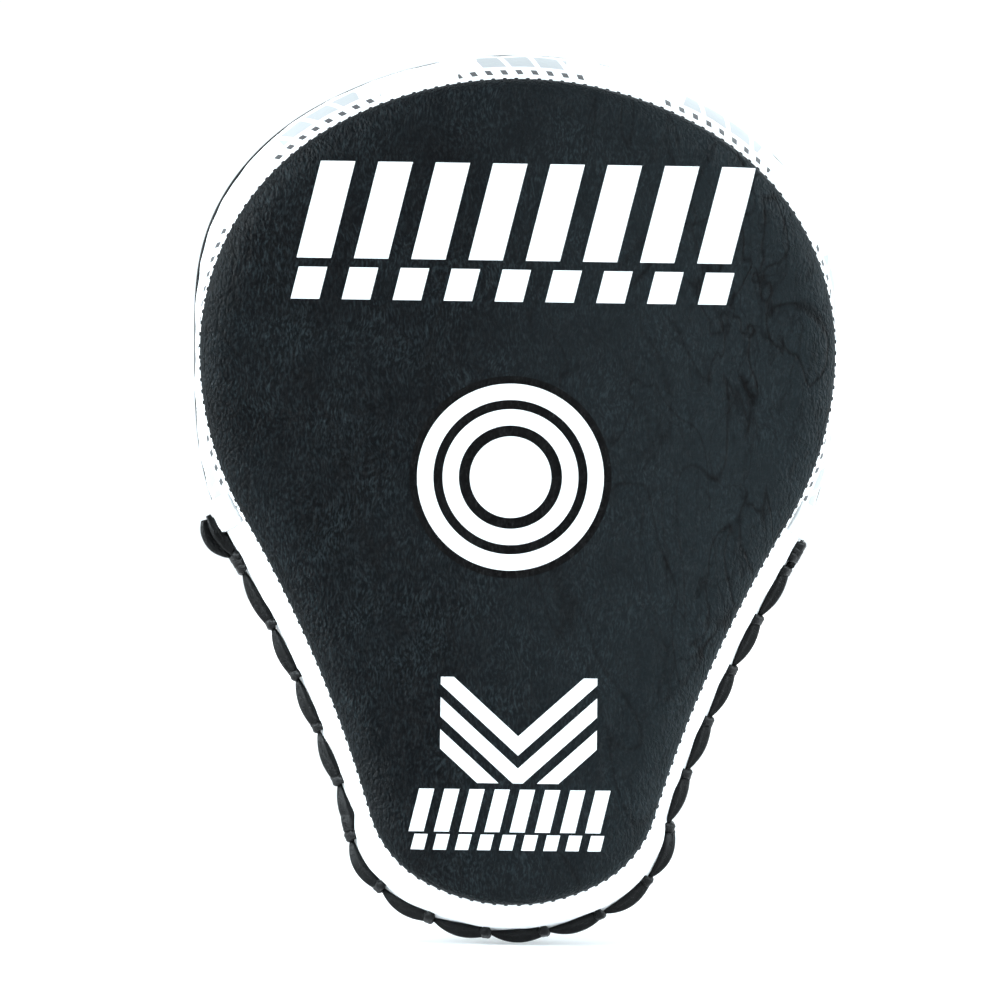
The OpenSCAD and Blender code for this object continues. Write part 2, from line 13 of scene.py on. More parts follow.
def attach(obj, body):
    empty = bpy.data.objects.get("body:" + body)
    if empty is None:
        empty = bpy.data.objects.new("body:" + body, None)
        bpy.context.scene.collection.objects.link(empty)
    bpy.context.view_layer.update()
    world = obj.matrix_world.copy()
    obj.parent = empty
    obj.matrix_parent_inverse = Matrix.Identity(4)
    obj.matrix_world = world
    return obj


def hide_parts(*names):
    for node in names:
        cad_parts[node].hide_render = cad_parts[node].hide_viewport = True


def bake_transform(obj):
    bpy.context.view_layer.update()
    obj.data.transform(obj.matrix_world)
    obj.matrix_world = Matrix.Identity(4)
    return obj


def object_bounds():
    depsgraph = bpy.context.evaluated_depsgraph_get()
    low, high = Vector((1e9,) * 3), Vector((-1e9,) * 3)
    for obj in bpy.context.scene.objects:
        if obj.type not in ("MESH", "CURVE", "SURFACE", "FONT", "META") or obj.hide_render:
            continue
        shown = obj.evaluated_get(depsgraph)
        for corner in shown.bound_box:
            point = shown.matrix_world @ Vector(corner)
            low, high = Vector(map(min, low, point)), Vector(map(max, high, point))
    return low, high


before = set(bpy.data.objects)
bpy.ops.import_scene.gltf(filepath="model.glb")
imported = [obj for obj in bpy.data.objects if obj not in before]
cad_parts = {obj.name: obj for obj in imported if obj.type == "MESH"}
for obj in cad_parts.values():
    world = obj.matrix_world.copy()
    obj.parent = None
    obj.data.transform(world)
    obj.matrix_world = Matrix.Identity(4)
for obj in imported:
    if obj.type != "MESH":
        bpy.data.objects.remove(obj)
cad_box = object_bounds()

MM = 0.001
chance = random.Random(11)

# ---- Camera: a long lens, level with the pad, a little to the -X side. Its places are in metres.
LENS, SENSOR_WIDTH, CLIP_END = 172.3, 36, 50
CAMERA_DISTANCE = 1.5
CAMERA_YAW = math.radians(1.5)
CAMERA_ROLL = math.radians(0.8)
CAMERA_AIM = Vector((-0.0052, -0.068, -0.0072))


def in_scene(name, data):
    """New object that holds data, put into the scene."""
    thing = bpy.data.objects.new(name, data)
    bpy.context.scene.collection.objects.link(thing)
    return thing


def add_camera():
    data = bpy.data.cameras.new("camera")
    data.lens = LENS
    data.sensor_width = SENSOR_WIDTH
    data.clip_end = CLIP_END
    camera = in_scene("camera", data)
    back = Vector((-math.sin(CAMERA_YAW), -math.cos(CAMERA_YAW), 0))
    turn = back.to_track_quat("Z", "Y").to_matrix() @ Matrix.Rotation(CAMERA_ROLL, 3, "Z")
    camera.matrix_world = Matrix.Translation(CAMERA_AIM + CAMERA_DISTANCE * back) @ turn.to_4x4()
    bpy.context.scene.camera = camera
    bpy.context.scene.view_settings.view_transform = "Standard"


add_camera()

# ---- The pad's shape, as the CAD has it.
BALL_H, PAD_T, BEND_R = 20, 48, 700
BACK_R = BEND_R + PAD_T
BEND_Y = -(BALL_H + PAD_T) - BEND_R
SEAM_DEPTH, EDGE_DEPTH, JOINT_Z = 6.5, 36, -10
LEATHER_T = 1.6
FINE = 8                 # outline places between two of the CAD's
TOP_Z, FLANK = 124.5, 7
UPPER_ARCS = ((120, 30, 6), (80, 60, 12), (102, 30, 6))     # radius, degrees, steps
LOWER_ARCS = ((-425, 13, 3), (34.5, 44, 9))
BOTTOM_SWEEP, BOTTOM_STEPS = 29, 6


def half_outline():
    """Places (x, z, heading) from the top centre down the +X side to the bottom centre."""
    places = [(0.0, TOP_Z, 0.0)]

    def arc(radius, sweep, steps):
        x, z, a = places[-1]
        cx, cz = x + radius * math.sin(a), z - radius * math.cos(a)
        for i in range(1, steps * FINE + 1):
            b = a - math.copysign(math.radians(sweep), radius) * i / (steps * FINE)
            places.append((cx - radius * math.sin(b), cz + radius * math.cos(b), b))

    for radius, sweep, steps in UPPER_ARCS:
        arc(radius, sweep, steps)
    x, z, a = places[-1]
    for i in range(1, FINE + 1):
        places.append((x + FLANK * i / FINE * math.cos(a), z + FLANK * i / FINE * math.sin(a), a))
    for radius, sweep, steps in LOWER_ARCS:
        arc(radius, sweep, steps)
    arc(places[-1][0] / math.sin(math.radians(BOTTOM_SWEEP)), BOTTOM_SWEEP, BOTTOM_STEPS)
    return places


HALF = half_outline()
WIDEST = FINE * (UPPER_ARCS[0][2] + UPPER_ARCS[1][2])
LENGTHS = [0.0]
for p, q in zip(HALF, HALF[1:]):
    LENGTHS.append(LENGTHS[-1] + math.hypot(q[0] - p[0], q[1] - p[1]))
HALF_LENGTH = LENGTHS[-1]


def place(s):
    """(x, z, normal x, normal z) at a distance along the outline from the top centre, +X side positive."""
    if abs(s) > HALF_LENGTH:
        s -= math.copysign(2 * HALF_LENGTH, s)
    k = min(max(bisect.bisect_right(LENGTHS, abs(s)) - 1, 0), len(HALF) - 2)
    f = (abs(s) - LENGTHS[k]) / (LENGTHS[k + 1] - LENGTHS[k])
    x, z, a = (p * (1 - f) + q * f for p, q in zip(HALF[k], HALF[k + 1]))
    side = -1 if s < 0 else 1
    return side * x, z, -side * math.sin(a), math.cos(a)


def length_at_z(z):
    k = next(i for i, p in enumerate(HALF) if p[1] < z)
    f = (HALF[k - 1][1] - z) / (HALF[k - 1][1] - HALF[k][1])
    return LENGTHS[k - 1] + f * (LENGTHS[k] - LENGTHS[k - 1])


JOINT_S = length_at_z(JOINT_Z)
WIDEST_S = LENGTHS[WIDEST]


def depth_y(depth, z):
    return BEND_Y + math.sqrt((BEND_R + depth) ** 2 - z * z)


SIDE_BULGE, END_BULGE, BULGE_FADE = 2.4, 7.4, 0.42


def bulge(nz):
    """How far the wall swells: little at the sides, more toward the top and the bottom."""
    return SIDE_BULGE + END_BULGE * (1 - math.exp(-(nz / BULGE_FADE) ** 2))


def wall_share(depth):
    return math.sin(math.radians(90) * (depth - SEAM_DEPTH) / (EDGE_DEPTH - SEAM_DEPTH))


def pad_point(s, out, share, depth):
    x, z, nx, nz = place(s)
    reach = out + share * bulge(nz)
    z += reach * nz
    return Vector((x + reach * nx, depth_y(depth, z), z))


def samples(start, end, step):
    """Even values from start to end, about one step apart."""
    count = max(2, round(abs(end - start) / step))
    return [start + (end - start) * i / count for i in range(count + 1)]


def around(count):
    """Angles of one full turn in equal steps."""
    return [2 * math.pi * i / count for i in range(count)]


def unit(v):
    return v.normalized() if v.length > 1e-9 else Vector((0, 0, 1))


def heading(path, k, closed=False):
    """From the place before place k of a path to the place after it."""
    if closed:
        return path[(k + 1) % len(path)] - path[k - 1]
    return path[min(k + 1, len(path) - 1)] - path[max(k - 1, 0)]


def distances(path):
    """Distance travelled at each place of a path."""
    far = [0.0]
    for a, b in zip(path, path[1:]):
        far.append(far[-1] + (b - a).length)
    return far


def catmull(points, steps):
    """Smooth path through the points, with that many steps between two of them."""
    points = [Vector(p) for p in points]
    result = []
    for i in range(len(points) - 1):
        p0, p1, p2, p3 = (points[max(min(i + j, len(points) - 1), 0)] for j in (-1, 0, 1, 2))
        for k in range(steps):
            t = k / steps
            result.append(0.5 * (2 * p1 + (p2 - p0) * t + (2 * p0 - 5 * p1 + 4 * p2 - p3) * t * t
                                 + (3 * p1 - p0 - 3 * p2 + p3) * t ** 3))
    result.append(points[-1])
    return result


def lumps(point, period, seed=0.0):
    return noise.noise(Vector(point) / period + Vector((seed, 7.3 * seed, 0)))


# ---- Mesh making.
def new_piece(name, points, faces, material, slot, body="root", replaces=(), lay=None, merge=False):
    """Object with the CAD nodes it replaces and the body it rides on, if any; the slot is not used."""
    mesh = bpy.data.meshes.new(name)
    mesh.from_pydata([Vector(p) * MM for p in points], [], faces)
    if lay:
        attribute = mesh.attributes.new("lay", "FLOAT_VECTOR", "POINT")
        attribute.data.foreach_set("vector", [v for p in lay for v in p])
    work = bmesh.new()
    work.from_mesh(mesh)
    if merge:
        bmesh.ops.remove_doubles(work, verts=work.verts, dist=1e-6)
    bmesh.ops.recalc_face_normals(work, faces=work.faces)
    work.to_mesh(mesh)
    work.free()
    mesh.polygons.foreach_set("use_smooth", [True] * len(mesh.polygons))
    mesh.materials.append(material)
    piece = in_scene(name, mesh)
    if body:
        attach(piece, body)
    if replaces:
        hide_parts(*replaces)
    return piece


def loft(rings, wrap=True, ends="pole"):
    """Points and faces of a skin through rings of equal length, with a pole or a flat cap at each end."""
    n = len(rings[0])
    points = [p for ring in rings for p in ring]
    faces = []
    for k in range(len(rings) - 1):
        for i in range(n if wrap else n - 1):
            j = (i + 1) % n
            faces.append((k * n + i, k * n + j, (k + 1) * n + j, (k + 1) * n + i))
    for k in (0, len(rings) - 1):
        if ends == "pole":
            points.append(sum((Vector(p) for p in rings[k]), Vector()) / n)
            faces += [(k * n + i, k * n + (i + 1) % n, len(points) - 1) for i in range(n)]
        elif ends == "flat":
            faces.append(tuple(range(k * n, k * n + n)))
    return points, faces


def plate(outer, inner, close_last=True):
    """Solid between two grids of equal size."""
    m, n = len(outer), len(outer[0])
    points = [p for row in outer for p in row] + [p for row in inner for p in row]
    half = m * n
    faces = []
    for k in range(m - 1):
        for i in range(n - 1):
            a = k * n + i
            faces.append((a, a + 1, a + n + 1, a + n))
            faces.append((half + a, half + a + n, half + a + n + 1, half + a + 1))
    for i in range(n - 1):
        faces.append((i, half + i, half + i + 1, i + 1))
        if close_last:
            b = (m - 1) * n + i
            faces.append((b, b + 1, half + b + 1, half + b))
    for k in range(m - 1):
        for a in (k * n, k * n + n - 1):
            faces.append((a, a + n, half + a + n, half + a))
    return points, faces


CREASE_WIDTH = 0.35


def tube(path, radii, sides=10, flat=1.0, up=Vector((0, 1, 0)), fold=0.0, closed=False):
    """Tube of changing radius; flat squeezes it along up, fold sinks a crease along its upper side."""
    rings = []
    for k, (centre, r) in enumerate(zip(path, radii)):
        along = unit(heading(path, k, closed))
        guide = up(k) if callable(up) else up
        a = unit(along.cross(guide))
        b = unit(a.cross(along))
        ring = []
        for turn in around(sides):
            height = math.sin(turn) * flat
            if fold and height > 0:
                height -= fold * math.exp(-(math.cos(turn) / CREASE_WIDTH) ** 2)
            ring.append(centre + r * (math.cos(turn) * a + height * b))
        rings.append(ring)
    if closed:
        return loft(rings + [rings[0]], ends=None)
    return loft(rings)


def flat_ring(centre, a, b, half_a, half_b, sides):
    """Ring with a flattened, nearly rectangular section."""
    return [centre + half_a * math.copysign(abs(math.cos(t)) ** 0.6, math.cos(t)) * a
            + half_b * math.copysign(abs(math.sin(t)) ** 0.8, math.sin(t)) * b
            for t in around(sides)]


def flat_tube(path, across, half_across, half_along, sides=14):
    """Tube with a flattened section: wide along across(k)."""
    rings = []
    for k, p in enumerate(path):
        a = unit(across(k))
        b = unit(unit(heading(path, k)).cross(a))
        rings.append(flat_ring(p, a, b, half_across, half_along, sides))
    return loft(rings)


def join(parts):
    points, faces = [], []
    for more_points, more_faces in parts:
        base = len(points)
        points += more_points
        faces += [tuple(i + base for i in face) for face in more_faces]
    return points, faces


BEAD_PROFILE = ((-0.5, 0.35), (-0.36, 0.85), (0, 1), (0.36, 0.85), (0.5, 0.35))
BEAD_SIDES = 8
STITCH_WOBBLE = 0.07


def bead(centre, along, up, length, width, height):
    """One stitch: a small rounded bar."""
    side = unit(along.cross(up))
    along, up = unit(along), unit(side.cross(along))
    rings = []
    for t, r in BEAD_PROFILE:
        rings.append([centre + along * (t * length) + r * (side * (width / 2 * math.cos(turn))
                                                           + up * (height / 2 * math.sin(turn)))
                      for turn in around(BEAD_SIDES)])
    return loft(rings)


def seam(path, ups, pitch=3.6, length=2.7, width=0.75, height=0.6, lift=0.05):
    """Stitches at equal distances along a path of points."""
    parts = []
    travelled, due = 0.0, pitch / 2
    for a, b, up in zip(path, path[1:], ups):
        step = (b - a).length
        while travelled + step >= due and step > 1e-6:
            centre = a.lerp(b, (due - travelled) / step)
            wobble = unit(b - a) + unit((b - a).cross(up)) * chance.uniform(-STITCH_WOBBLE, STITCH_WOBBLE)
            parts.append(bead(centre + up * lift, wobble, up, length, width, height))
            due += pitch
        travelled += step
    return join(parts)


# ---- Materials. Patterns are drawn in the object's own coordinates, in millimetres.
class Paint:
    """Node-based material with a Principled surface."""

    def __init__(self, name, **sockets):
        self.material = bpy.data.materials.new(name)
        self.material.use_nodes = True
        self.tree = self.material.node_tree
        self.surface = self.tree.nodes["Principled BSDF"]
        for key, value in sockets.items():
            self.surface.inputs[key.replace("_", " ")].default_value = value
        coordinates = self.tree.nodes.new("ShaderNodeTexCoord")
        self.spot = self.stretch(coordinates.outputs["Object"], (1000, 1000, 1000))

    def node(self, kind, inputs=(), **settings):
        node = self.tree.nodes.new("ShaderNode" + kind)
        for key, value in settings.items():
            setattr(node, key, value)
        for key, value in dict(inputs).items():
            self.set(node.inputs[key], value)
        return node

    def set(self, socket, value):
        if isinstance(value, bpy.types.NodeSocket):
            self.tree.links.new(value, socket)
        else:
            socket.default_value = value

    def stretch(self, vector, scale, turn=(0, 0, 0)):
        return self.node("Mapping", {"Vector": vector, "Scale": scale, "Rotation": turn}).outputs[0]

    def axes(self, vector=None):
        """X, Y and Z of a place."""
        return self.node("SeparateXYZ", {0: vector or self.spot}).outputs

    def drifted(self, period, detail, amount):
        """The spot, pushed aside by slow noise."""
        drift = self.node("TexNoise", {"Vector": self.spot, "Scale": 1 / period, "Detail": detail}).outputs[1]
        push = self.node("VectorMath", {0: drift, "Scale": amount}, operation="SCALE").outputs[0]
        return self.node("VectorMath", {0: self.spot, 1: push}, operation="ADD").outputs[0]

    def distance(self, vector):
        return self.node("VectorMath", {0: vector}, operation="LENGTH").outputs["Value"]

    def math(self, operation, *values):
        return self.node("Math", dict(enumerate(values)), operation=operation).outputs[0]

    def total(self, *values):
        result = values[0]
        for value in values[1:]:
            result = self.math("ADD", result, value)
        return result

    def product(self, *values):
        result = values[0]
        for value in values[1:]:
            result = self.math("MULTIPLY", result, value)
        return result

    def within(self, value, low, high):
        return self.math("COMPARE", value, (low + high) / 2, (high - low) / 2)

    def minus(self, value, other):
        return self.math("SUBTRACT", value, other)

    def noise(self, period, detail=2.0, vector=None, distortion=0.0):
        inputs = {"Vector": vector or self.spot, "Scale": 1 / period, "Detail": detail,
                  "Distortion": distortion}
        return self.node("TexNoise", inputs).outputs[0]

    def cells(self, period, feature="F1", vector=None, smooth=None):
        inputs = {"Vector": vector or self.spot, "Scale": 1 / period}
        if smooth is not None:
            inputs["Smoothness"] = smooth
        return self.node("TexVoronoi", inputs, feature=feature).outputs["Distance"]

    def ridge(self, value, centre, width):
        """1 on the line where value is at centre, falling to 0 beside it."""
        off = self.math("ABSOLUTE", self.minus(value, centre))
        return self.minus(1.0, self.math("MINIMUM", self.math("DIVIDE", off, width), 1.0))

    def remap(self, value, low, high, to_low, to_high):
        node = self.node("MapRange", {0: value, 1: low, 2: high, 3: to_low, 4: to_high})
        return node.outputs[0]

    def mix(self, factor, first, second):
        node = self.node("Mix", data_type="RGBA")
        self.set(node.inputs[0], factor)
        self.set(node.inputs[6], first)
        self.set(node.inputs[7], second)
        return node.outputs[2]

    def shade(self, value, low, high, first, second):
        """The first colour where value is low, the second where it is high."""
        return self.mix(self.remap(value, low, high, 0, 1), first, second)

    def bump(self, height, distance, under=None):
        inputs = {"Height": height, "Distance": distance * MM, "Strength": 1.0}
        if under:
            inputs["Normal"] = under
        return self.node("Bump", inputs).outputs[0]

    def finish(self, **links):
        for key, value in links.items():
            self.set(self.surface.inputs[key.replace("_", " ")], value)
        return self.material


BLACK_LOW = (0.0004, 0.0009, 0.0014, 1)
BLACK_HIGH = (0.0013, 0.0024, 0.0032, 1)
# Painted sheen: the next colour lightens the face toward +X, where the light catches it.
PAINTED_SHEEN_TONE = (0.0085, 0.012, 0.0138, 1)
FIBRE_TONE = (0.0145, 0.0205, 0.0235, 1)
# Painted shade: the next colour darkens the face's creases.
CREASE_SHADE_TONE = (0.0008, 0.001, 0.0012, 1)


def leather_relief(paint, grain, depth):
    """Height of a pebbled grain with stretched wrinkles, and the normal it gives."""
    stretched = paint.stretch(paint.drifted(6.0, 2.0, 2.2), (1, 1, 0.62))
    pebbles = paint.cells(grain, "SMOOTH_F1", stretched, 0.35)
    fine = paint.noise(grain * 0.45, 2.0, stretched)
    lines = paint.ridge(paint.noise(grain * 3.4, 3.0, stretched, 0.6), 0.5, 0.045)
    height = paint.total(pebbles, paint.product(fine, 0.5), paint.product(lines, -0.35))
    return height, paint.bump(height, depth)


def fibres(paint):
    """Share of pale, short, lengthwise grain lines at each spot."""
    lengthwise = paint.stretch(paint.drifted(14.0, 1.0, 7.0), (1, 1, 0.36), (0, 0.25, 0))
    lines = paint.noise(0.62, 2.0, lengthwise, 0.3)
    patches = paint.noise(17, 2.0)
    return paint.product(paint.remap(lines, 0.46, 0.72, 0, 1), paint.remap(patches, 0.35, 0.65, 0.35, 1))


def black_leather(name, grain=1.15, depth=0.19, roughness=0.42):
    paint = Paint(name, Specular_IOR_Level=0.13)
    height, normal = leather_relief(paint, grain, depth)
    patches = paint.noise(26, 3.0)
    aside = paint.stretch(paint.spot, (1, 1, 0.5), (0, 0.6, 0))
    creases = paint.ridge(paint.noise(30, 2.0, aside, 0.8), 0.5, 0.012)
    normal = paint.bump(creases, -0.1, normal)
    colour = paint.shade(patches, 0.35, 0.65, BLACK_LOW, BLACK_HIGH)
    shine = paint.total(paint.remap(patches, 0.3, 0.7, roughness - 0.05, roughness + 0.05),
                        paint.product(height, 0.06))
    return paint.finish(Base_Color=colour, Roughness=shine, Normal=normal)


PRINT_WHITE, CRACKED_PRINT = (0.86, 0.87, 0.88, 1), (0.55, 0.57, 0.6, 1)
TARGET_BLACK = (0.0009, 0.0009, 0.001, 1)
SLANT = math.tan(math.radians(13.5))
TARGET_X, TARGET_R = -2.0, 31.7
TARGET_RINGS = ((-1, 12.8), (16.2, 21.3), (24.2, 29.3))
# Rows of bars: from x to x, from z to z, how many, and the share of each that is filled.
BAR_ROWS = ((-66.3, 70.1, 67.7, 97.8, 8, 0.6), (-70.4, 66.3, 54.9, 64.9, 9, 0.56),
            (-30.9, 29.0, -110.7, -97.5, 8, 0.6), (-31.2, 28.1, -116.3, -111.5, 9, 0.6))
EMBLEM_X, EMBLEM_Z, EMBLEM_MIDDLE, EMBLEM_STEEP = (-23, 26), (-95.6, -62.7), 1.4, 0.9
CHEVRONS = ((-87, -81), (-97, -91), (-107, -101))


def bars(paint, x, z, row):
    """One row of leaning bars."""
    x0, x1, z0, z1, count, filled = row
    lean = paint.minus(x, paint.product(z, SLANT))
    across = paint.minus(lean, x0 - SLANT * (z0 + z1) / 2)
    pitch = (x1 - x0 + (1 - filled) * (x1 - x0) / count) / count
    share = paint.math("FRACT", paint.product(across, 1 / pitch))
    return paint.product(paint.within(z, z0, z1), paint.within(across, 0, x1 - x0),
                         paint.math("LESS_THAN", share, filled))


def face_print(paint, x, z):
    """Share of white ink, and of the target's black rings, at each spot."""
    inputs = {0: paint.spot, 1: (TARGET_X, 0, 0)}
    from_target = paint.node("VectorMath", inputs, operation="SUBTRACT").outputs[0]
    r = paint.distance(paint.stretch(from_target, (1, 0, 1)))
    rings = paint.total(*[paint.within(r, low, high) for low, high in TARGET_RINGS])
    emblem = paint.product(paint.within(z, *EMBLEM_Z), paint.within(x, *EMBLEM_X))
    aside = paint.math("ABSOLUTE", paint.minus(x, EMBLEM_MIDDLE))
    climb = paint.minus(z, paint.product(aside, EMBLEM_STEEP))
    stripes = paint.total(*[paint.within(climb, low, high) for low, high in CHEVRONS])
    rows = [bars(paint, x, z, row) for row in BAR_ROWS]
    ink = paint.math("MINIMUM", 1.0, paint.total(rings, paint.product(emblem, stripes), *rows))
    return ink, paint.math("MAXIMUM", paint.minus(paint.within(r, -1, TARGET_R), rings), 0.0)


def face_leather():
    """Black leather with the ring target and rows of slanted bars printed on it."""
    paint = Paint("face_leather", Specular_IOR_Level=0.08)
    height, normal = leather_relief(paint, 0.95, 0.3)
    axes = paint.axes()
    x, z = axes[0], axes[2]
    ink, band_ink = face_print(paint, x, z)

    patches = paint.noise(30, 3.0)
    aside = paint.stretch(paint.spot, (1, 1, 0.42), (0, 0.75, 0))
    wrinkles = paint.ridge(paint.noise(19, 2.5, aside, 0.9), 0.5, 0.028)
    small_lines = paint.ridge(paint.noise(7, 3.0, aside, 0.5), 0.5, 0.03)
    long_lines = paint.ridge(paint.noise(46, 2.0, paint.stretch(paint.spot, (1, 1, 0.35)), 1.2), 0.47, 0.01)
    far = paint.math("MAXIMUM", paint.remap(x, 25, 70, 0.08, 1), paint.remap(x, -90, -55, 0.7, 0.0))
    plain = paint.minus(1.0, paint.product(ink, 0.6))
    normal = paint.bump(paint.product(wrinkles, far, plain), -0.2, normal)
    normal = paint.bump(paint.product(long_lines, plain), -0.06, normal)
    colour = paint.shade(patches, 0.35, 0.65, BLACK_LOW, BLACK_HIGH)
    # Painted sheen: the colour grows lighter toward +X.
    colour = paint.mix(paint.remap(x, -25, 60, 0, 0.8), colour, PAINTED_SHEEN_TONE)
    colour = paint.mix(fibres(paint), colour, FIBRE_TONE)
    # Painted shade: the creases and wrinkles, most toward the sides, are darkened in the colour.
    crease_shading = paint.total(paint.product(wrinkles, far, 0.75), paint.product(long_lines, 0.5),
                             paint.product(small_lines, far, 0.45))
    colour = paint.mix(paint.math("MINIMUM", 1.0, crease_shading), colour, CREASE_SHADE_TONE)
    colour = paint.mix(band_ink, colour, TARGET_BLACK)
    creased = paint.mix(paint.remap(height, 0.2, 0.9, 0, 0.12), PRINT_WHITE, CRACKED_PRINT)
    colour = paint.mix(ink, colour, creased)
    shine = paint.total(paint.remap(patches, 0.3, 0.7, 0.4, 0.5), paint.product(height, 0.05),
                        paint.product(band_ink, -0.06), paint.product(ink, 0.05))
    return paint.finish(Base_Color=colour, Roughness=shine, Normal=normal)


WHITE_HIGH, WHITE_LOW = (0.8, 0.805, 0.81, 1), (0.72, 0.73, 0.74, 1)
MARK_GREY, MARK_BLACK = (0.3, 0.31, 0.32, 1), (0.03, 0.03, 0.033, 1)
MARK_LEAN, GROUP_PITCH, BLOCK_PITCH, DASH_PITCH = 0.25, 64, 8.8, 4.7


def marks(paint):
    """Shares of grey blocks and of black dashes, in groups along the printed wall."""
    lay = paint.axes(paint.node("Attribute", attribute_name="lay").outputs["Vector"])
    along, depth = lay[0], lay[1]
    lean = paint.math("ADD", along, paint.product(depth, MARK_LEAN))
    turn = paint.math("FRACT", paint.math("ADD", paint.product(along, 1 / GROUP_PITCH), 0.5))
    blocks = paint.math("FRACT", paint.product(lean, 1 / BLOCK_PITCH))
    grey = paint.product(paint.within(turn, 0.29, 0.71), paint.within(depth, 15.5, 26),
                         paint.within(blocks, 0.08, 0.9))
    dashes = paint.math("FRACT", paint.product(lean, 1 / DASH_PITCH))
    black = paint.product(paint.within(turn, 0.19, 0.81), paint.within(depth, 9.6, 13.0),
                          paint.within(dashes, 0.2, 0.6))
    return grey, black


def white_leather(name, printed):
    paint = Paint(name, Specular_IOR_Level=0.4)
    normal = leather_relief(paint, 1.4, 0.06)[1]
    stains = paint.noise(9, 3.0)
    colour = paint.mix(paint.remap(stains, 0.35, 0.7, 0, 0.5), WHITE_HIGH, WHITE_LOW)
    if printed:
        grey, black = marks(paint)
        colour = paint.mix(paint.product(grey, 0.9), colour, MARK_GREY)
        colour = paint.mix(black, colour, MARK_BLACK)
    shine = paint.remap(stains, 0.3, 0.7, 0.42, 0.52)
    return paint.finish(Base_Color=colour, Roughness=shine, Normal=normal)


def lace_leather():
    paint = Paint("lace_leather", Specular_IOR_Level=0.14)
    streaks = paint.noise(0.9, 3.0, None, 0.8)
    cracks = paint.ridge(paint.noise(2.6, 3.0, None, 1.0), 0.5, 0.05)
    height = paint.total(paint.product(streaks, 0.6), paint.product(cracks, -0.6))
    colour = paint.mix(paint.noise(5, 2.0), (0.0006, 0.0006, 0.0008, 1), (0.0022, 0.0024, 0.0027, 1))
    return paint.finish(Base_Color=colour, Roughness=paint.remap(streaks, 0.3, 0.7, 0.3, 0.46),
                        Normal=paint.bump(height, 0.12))


def cloth(name, low, high, thread, relief, roughness=0.85, sheen=0.2):
    """Woven or knitted fabric: crossing sets of threads."""
    paint = Paint(name, Specular_IOR_Level=0.25, Sheen_Weight=sheen, Sheen_Roughness=0.5)
    axes = paint.axes(paint.stretch(paint.spot, (1, 1, 1), (0.1, 0, 0)))
    x, y, z = (paint.math("SINE", paint.product(axis, 2 * math.pi / thread)) for axis in axes)
    weave = paint.total(paint.product(x, y), paint.product(y, z), paint.product(x, z))
    height = paint.total(paint.product(weave, 0.35), paint.noise(thread * 0.6, 2.0))
    colour = paint.shade(height, 0.1, 1.1, low, high)
    return paint.finish(Base_Color=colour, Roughness=roughness, Normal=paint.bump(height, relief))


def ribbed(name, low, high, pitch, relief, roughness=0.7):
    """Tape, elastic or thread with ribs across Z."""
    paint = Paint(name, Specular_IOR_Level=0.3, Sheen_Weight=0.15)
    ribs = paint.math("SINE", paint.product(paint.axes()[2], 2 * math.pi / pitch))
    height = paint.total(paint.product(ribs, 0.5), paint.noise(pitch * 0.35, 2.0))
    colour = paint.shade(height, 0.0, 1.2, low, high)
    return paint.finish(Base_Color=colour, Roughness=roughness, Normal=paint.bump(height, relief))


def pile(name, low, high, period, relief, roughness=0.9):
    """Curls of a hook-and-loop tape."""
    paint = Paint(name, Specular_IOR_Level=0.3, Sheen_Weight=0.25, Sheen_Roughness=0.4)
    height = paint.total(paint.cells(period), paint.product(paint.noise(period * 0.5, 3.0), 0.6))
    colour = paint.shade(height, 0.2, 1.1, low, high)
    return paint.finish(Base_Color=colour, Roughness=roughness, Normal=paint.bump(height, relief))


def steel():
    paint = Paint("ring_steel", Metallic=1.0)
    scratches = paint.noise(1.2, 3.0, paint.stretch(paint.spot, (1, 1, 0.08)))
    colour = paint.mix(paint.noise(8, 2.0), (0.72, 0.73, 0.75, 1), (0.82, 0.83, 0.84, 1))
    return paint.finish(Base_Color=colour, Roughness=paint.remap(scratches, 0.3, 0.7, 0.1, 0.22),
                        Normal=paint.bump(scratches, 0.01))


def foam(name, low, high):
    paint = Paint(name, Specular_IOR_Level=0.2)
    colour = paint.mix(paint.noise(4, 3.0), low, high)
    return paint.finish(Base_Color=colour, Roughness=0.9, Normal=paint.bump(paint.cells(0.8), 0.15))


FACE = face_leather()
BLACK = black_leather("black_leather")
SOFT_BLACK = black_leather("soft_black_leather", 0.9, 0.2, 0.48)
WHITE_PRINTED = white_leather("white_leather_printed", True)
WHITE_PLAIN = white_leather("white_leather_plain", False)
LACE = lace_leather()
LINING = cloth("lining_fabric", (0.02, 0.021, 0.024, 1), (0.06, 0.062, 0.07, 1), 1.1, 0.12)
TAPE = ribbed("binding_tape", (0.006, 0.006, 0.007, 1), (0.022, 0.022, 0.025, 1), 0.9, 0.15)
ELASTIC = ribbed("elastic", (0.012, 0.012, 0.014, 1), (0.045, 0.045, 0.05, 1), 1.3, 0.22)
WEBBING = cloth("strap_webbing", (0.006, 0.006, 0.007, 1), (0.026, 0.026, 0.03, 1), 1.5, 0.25, 0.6, 0.1)
LOOPS = pile("loop_pile", (0.004, 0.004, 0.005, 1), (0.03, 0.03, 0.034, 1), 0.7, 0.3)
HOOKS = pile("hook_pile", (0.008, 0.008, 0.009, 1), (0.05, 0.05, 0.055, 1), 1.0, 0.35, 0.45)
STEEL = steel()
FOAM = foam("foam", (0.66, 0.64, 0.58, 1), (0.78, 0.76, 0.7, 1))
LATEX = foam("latex", (0.55, 0.4, 0.2, 1), (0.68, 0.5, 0.26, 1))
THREAD = ribbed("black_thread", (0.004, 0.004, 0.005, 1), (0.03, 0.03, 0.033, 1), 0.5, 0.08, 0.55)
GREY_THREAD = ribbed("grey_thread", (0.1, 0.1, 0.105, 1), (0.26, 0.26, 0.27, 1), 0.5, 0.08, 0.6)
